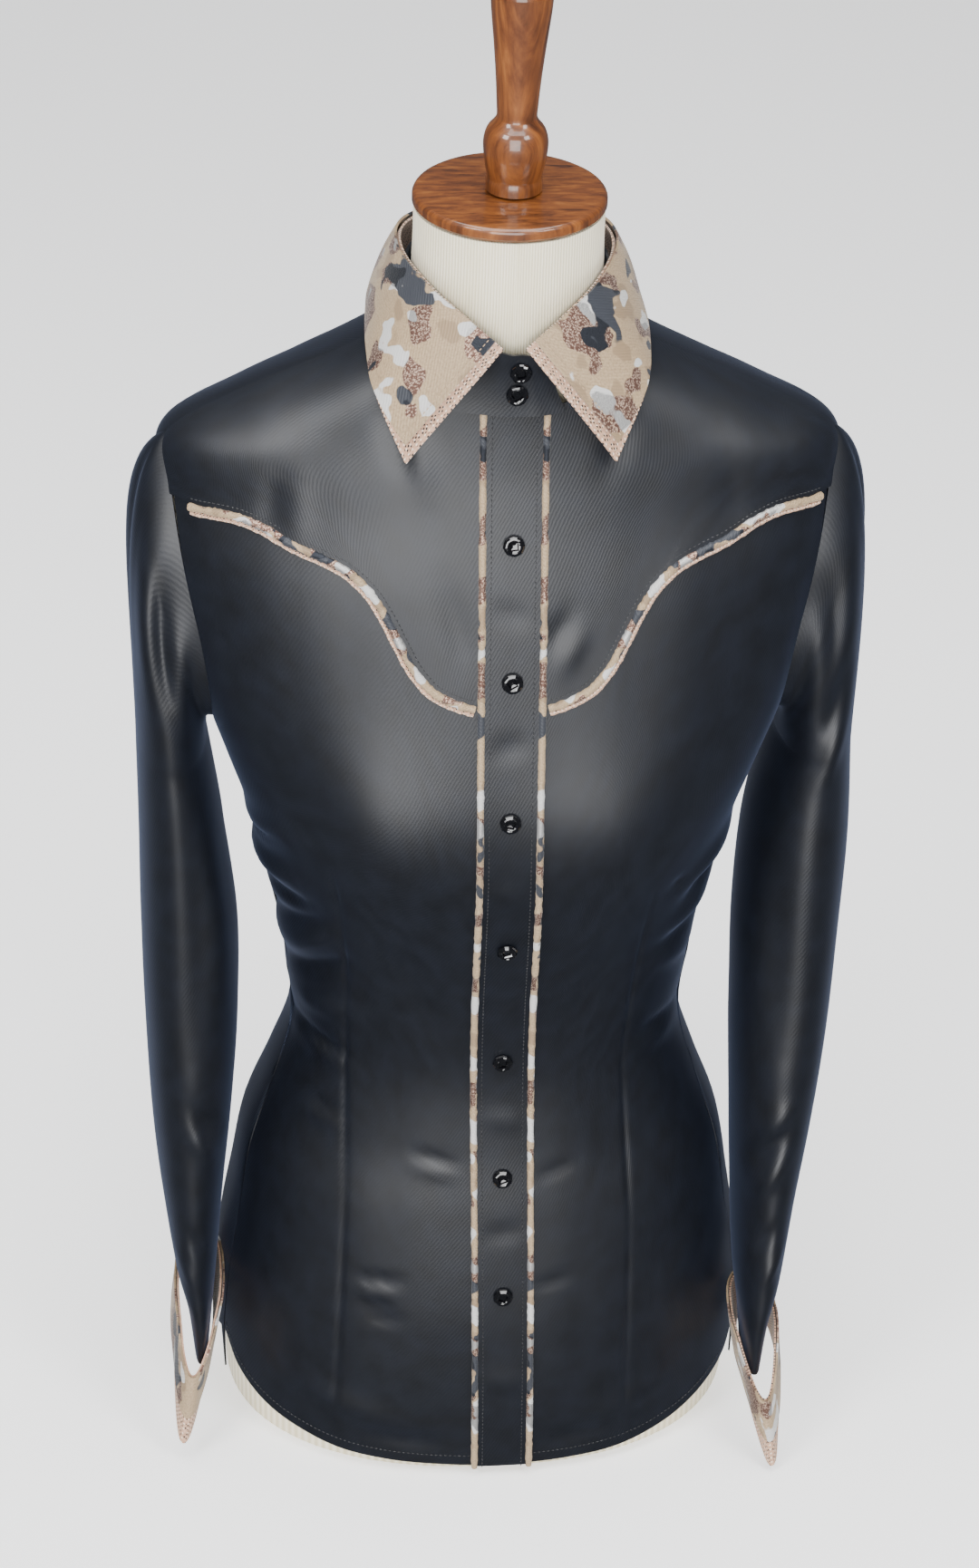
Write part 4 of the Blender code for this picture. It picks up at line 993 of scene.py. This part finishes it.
CUFF_TIER, CUFF_AREAS = 0.020, {"under": 0.0072, "top": 0.0060}
for side, name in ((-1, "left"), (1, "right")):
    front, sides, back_rim = CUFFS[name]["bottom_z"]
    cuff_leaf(side, name, "under", 0.0, (front, sides, back_rim), under_brocade, 0.0012)
    cuff_leaf(side, name, "top", 0.0020, (front + CUFF_TIER, sides + 0.005, back_rim + 0.004), brocade,
              0.0012)


# ---------------------------------------------------------------- buttons
# Pressed black glass: a faceted rim round a sunken square middle.
def button_material():
    """Black glass: a hard mirror gloss on a black body."""
    return new_material("black_glass_button", Base_Color=linear("#050507"), Roughness=0.06,
                        Specular_IOR_Level=0.7, Coat_Weight=0.6, Coat_Roughness=0.03)[0]


BUTTON_RADIUS, BUTTON_HEIGHT, BUTTON_SIDES = 0.0063, 0.0034, 16
BUTTON_RINGS = (            # radius and height as shares, and how square the ring is
    (0.80, 0.00, 0), (0.95, 0.18, 0), (1.00, 0.42, 0), (0.93, 0.74, 0), (0.80, 0.96, 0), (0.66, 1.00, 0),
    (0.56, 0.86, 0), (0.50, 0.80, 1), (0.38, 0.44, 1), (0.12, 0.40, 1))


def button(name, point, normal, spin, solid):
    rows = []
    for radius, height, square in BUTTON_RINGS:
        row = []
        for k in range(BUTTON_SIDES):
            angle = 2 * math.pi * k / BUTTON_SIDES
            shape = 0.78 / max(abs(math.cos(angle)), abs(math.sin(angle))) if square else 1.0
            scallop = 1.0 if square or radius < 0.6 else 1.0 - 0.035 * (k % 2)
            full = BUTTON_RADIUS * radius * shape * scallop
            row.append((full * math.cos(angle), full * math.sin(angle), BUTTON_HEIGHT * height))
        rows.append(row)
    mesh = grid_mesh(name, rows, closed=True)
    shape = bmesh.new()
    shape.from_mesh(mesh)
    bmesh.ops.holes_fill(shape, edges=[edge for edge in shape.edges if edge.is_boundary])
    bmesh.ops.recalc_face_normals(shape, faces=shape.faces)
    facing = Vector(normal).to_track_quat("Z", "Y").to_matrix().to_4x4()
    place = Matrix.Translation(Vector(point)) @ facing @ Matrix.Rotation(spin, 4, "Z")
    bmesh.ops.transform(shape, matrix=place, verts=shape.verts)
    shape.to_mesh(mesh)
    shape.free()
    made = link(name, mesh, glass)
    mesh.shade_flat()
    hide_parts(solid)
    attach(made, "root")
    return made


glass = button_material()
BUTTON_HEIGHTS = (0.661, 0.582, 0.498, 0.402, 0.304, 0.221, 0.141)
BUTTON_SPINS = (0.1, 0.5, -0.2, 0.3, 0.0, 0.35, -0.4)
STAND_BUTTONS = ((0.0035, 0.7655, 0.2), (0.0020, 0.7505, 0.6))
for number, (z, spin) in enumerate(zip(BUTTON_HEIGHTS, BUTTON_SPINS), 1):
    angle = front_angle(closing_line(z), z)
    button(f"button_{number}_glass", skin((angle, z), PLACKET_LIFT + PLACKET_WALL + 0.0006),
           skin_normal(angle, z), spin, f"button_{number}")
for number, (x, z, spin) in enumerate(STAND_BUTTONS, 1):
    angle = front_angle(x, z)
    button(f"stand_button_{number}_glass", skin((angle, z), 0.0066), skin_normal(angle, z), spin,
           f"stand_button_{number}")


# ---------------------------------------------------------------- topstitching
# Machine stitches in thread that matches each cloth, a few millimetres inside the sewn edges.
STITCH_SEED = 3


def stitch_tree():
    """Geometry nodes that set one small stitch at every step along a line."""
    tree = bpy.data.node_groups.new("stitch_row", "GeometryNodeTree")
    tree.interface.new_socket("Line", in_out="INPUT", socket_type="NodeSocketGeometry")
    for label in ("Pitch", "Length", "Thickness"):
        tree.interface.new_socket(label, in_out="INPUT", socket_type="NodeSocketFloat")
    tree.interface.new_socket("Thread", in_out="INPUT", socket_type="NodeSocketMaterial")
    tree.interface.new_socket("Stitches", in_out="OUTPUT", socket_type="NodeSocketGeometry")
    given = node(tree, "NodeGroupInput").outputs
    curve = node(tree, "GeometryNodeMeshToCurve", {"Mesh": given["Line"]})
    spots = node(tree, "GeometryNodeCurveToPoints", {"Curve": curve.outputs["Curve"],
                                                     "Length": given["Pitch"]}, mode="LENGTH")
    ball = node(tree, "GeometryNodeMeshIcoSphere", {"Radius": 0.5, "Subdivisions": 1})
    size = node(tree, "ShaderNodeCombineXYZ", {"X": given["Thickness"], "Y": given["Thickness"],
                                               "Z": given["Length"]})
    vary = node(tree, "FunctionNodeRandomValue", {"Min": (0.9, 0.9, 0.85), "Max": (1.1, 1.1, 1.1),
                                                  "Seed": STITCH_SEED}, data_type="FLOAT_VECTOR")
    scale = node(tree, "ShaderNodeVectorMath", {0: size.outputs["Vector"], 1: vary.outputs["Value"]},
                 operation="MULTIPLY")
    placed = node(tree, "GeometryNodeInstanceOnPoints", {
        "Points": spots.outputs["Points"], "Instance": ball.outputs["Mesh"],
        "Rotation": spots.outputs["Rotation"], "Scale": scale.outputs["Vector"]})
    real = node(tree, "GeometryNodeRealizeInstances", {"Geometry": placed.outputs["Instances"]})
    done = node(tree, "GeometryNodeSetMaterial", {"Geometry": real.outputs["Geometry"],
                                                  "Material": given["Thread"]})
    node(tree, "NodeGroupOutput", {"Stitches": done.outputs["Geometry"]})
    return tree


def sew(name, lines, thread, pitch=0.0030, length=0.0022, thickness=0.0007):
    """Rows of stitches along lines of points."""
    points, edges = [], []
    for line in lines:
        edges += [(len(points) + k, len(points) + k + 1) for k in range(len(line) - 1)]
        points += [tuple(point) for point in line]
    mesh = bpy.data.meshes.new(name)
    mesh.from_pydata(points, edges, [])
    made = link(name, mesh, thread)
    rows = made.modifiers.new("stitches", "NODES")
    rows.node_group = stitches
    values = {"Pitch": pitch, "Length": length, "Thickness": thickness, "Thread": thread}
    for item in stitches.interface.items_tree:
        if item.in_out == "INPUT" and item.name in values:
            rows[item.identifier] = values[item.name]
    evaluated(made)
    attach(made, "root")
    return made


stitches = stitch_tree()
black_thread = new_material("black_polyester_thread", Base_Color=linear("#0d0f14"), Roughness=0.4,
                            Sheen_Weight=0.3)[0]
tan_thread = new_material("tan_polyester_thread", Base_Color=linear("#a58a6c"), Roughness=0.5,
                          Sheen_Weight=0.2)[0]
black_rows, tan_rows = [], []
for side, name in ((-1, "left"), (1, "right")):
    edge_line = placket_edge(side, placket_low, placket_high, PLACKET_HALF - 0.0035)
    black_rows.append([skin(edge_line(k / 300), PLACKET_LIFT + PLACKET_WALL + 0.0002) for k in range(301)])
    turned_edge = yoke_edge(side, -0.0028)
    black_rows.append([skin(turned_edge(t), YOKE_LIFT + CLOTH + 0.0001)
                       for t in np.linspace(0.02, 0.98, 160)])
    for leaf, lift, margin in (("under", 0.0014, 0.0022), ("top", 0.0044, 0.0030)):
        shrink = 0.0 if leaf == "under" else COLLAR_STRIP
        front_row = []
        for down in np.linspace(0.03, 0.97, 80):
            gap = np.linalg.norm(collar_point(1, down) - collar_point(0.95, down)) / 0.05
            reach = down if leaf == "under" else down * 0.905
            front_row.append(collar_point(side * (1 - (shrink + margin) / gap), reach, lift))
        tan_rows.append(front_row)
hem_row = []
for angle in np.linspace(-72, 72, 240):
    low = hem(angle)[1] + 0.0075
    hem_row.append(skin((angle, low), CLOTH + 0.0003))
black_rows += [hem_row[:116], hem_row[124:]]
black_sewing = sew("satin_topstitching", black_rows, black_thread)
tan_sewing = sew("collar_topstitching", tan_rows, tan_thread)


# ---------------------------------------------------------------- floor, light and camera
# A pale floor under big soft lights, seen from in front and well above the shoulders.
def flat_light(name, place, target, size, power, colour="#ffffff"):
    lamp = bpy.data.lights.new(name, "AREA")
    lamp.shape, lamp.size, lamp.energy, lamp.color = "SQUARE", size, power, linear(colour)[:3]
    made = bpy.data.objects.new(name, lamp)
    bpy.context.scene.collection.objects.link(made)
    made.location = place
    made.rotation_euler = (Vector(target) - Vector(place)).to_track_quat("-Z", "Y").to_euler()


FLOOR_HALF = 7.0
floor_mesh = bpy.data.meshes.new("floor")
floor_mesh.from_pydata([(-FLOOR_HALF, -FLOOR_HALF, 0), (FLOOR_HALF, -FLOOR_HALF, 0),
                        (FLOOR_HALF, FLOOR_HALF, 0), (-FLOOR_HALF, FLOOR_HALF, 0)], [], [(0, 1, 2, 3)])
floor_paint = new_material("pale_floor_paint", Base_Color=linear("#f8f8f8"), Roughness=0.9,
                           Specular_IOR_Level=0.1, Emission_Color=linear("#ffffff"), Emission_Strength=0.8)[0]
floor = link("floor", floor_mesh, floor_paint)
floor.visible_glossy = False

world = bpy.data.worlds.new("studio")
world.use_nodes = True
world.node_tree.nodes["Background"].inputs["Color"].default_value = linear("#c9ced8")
world.node_tree.nodes["Background"].inputs["Strength"].default_value = 0.22
bpy.context.scene.world = world
flat_light("overhead", (0.0, -0.3, 2.9), (0, -0.1, 0.4), 2.2, 100)
flat_light("left_front", (-1.5, -1.3, 2.3), (0, 0, 0.5), 0.8, 40)
flat_light("right_front", (1.3, -1.4, 2.2), (0, 0, 0.5), 0.7, 26)
flat_light("front_wall", (-0.5, -4.4, 1.5), (0, 0, 0.5), 3.0, 250)

TILT, SWING, ROLL = math.radians(33), math.radians(-5), math.radians(1.7)
DISTANCE, AIM_HEIGHT, FOCUS, SENSOR = 2.276, 0.445, 56.879, 24.0
away = Vector((math.sin(SWING) * math.cos(TILT), -math.cos(SWING) * math.cos(TILT), math.sin(TILT)))
right = Vector((math.cos(SWING), math.sin(SWING), 0.0))
up = right.cross(-away)
turned_right = right * math.cos(ROLL) + up * math.sin(ROLL)
turned_up = up * math.cos(ROLL) - right * math.sin(ROLL)
lens = bpy.data.cameras.new("camera")
lens.sensor_fit, lens.sensor_height, lens.lens = "VERTICAL", SENSOR, FOCUS
camera = bpy.data.objects.new("camera", lens)
bpy.context.scene.collection.objects.link(camera)
camera.matrix_world = Matrix.Translation(Vector((0, 0, AIM_HEIGHT)) + away * DISTANCE) @ Matrix(
    (turned_right, turned_up, away)).transposed().to_4x4()
bpy.context.scene.camera = camera
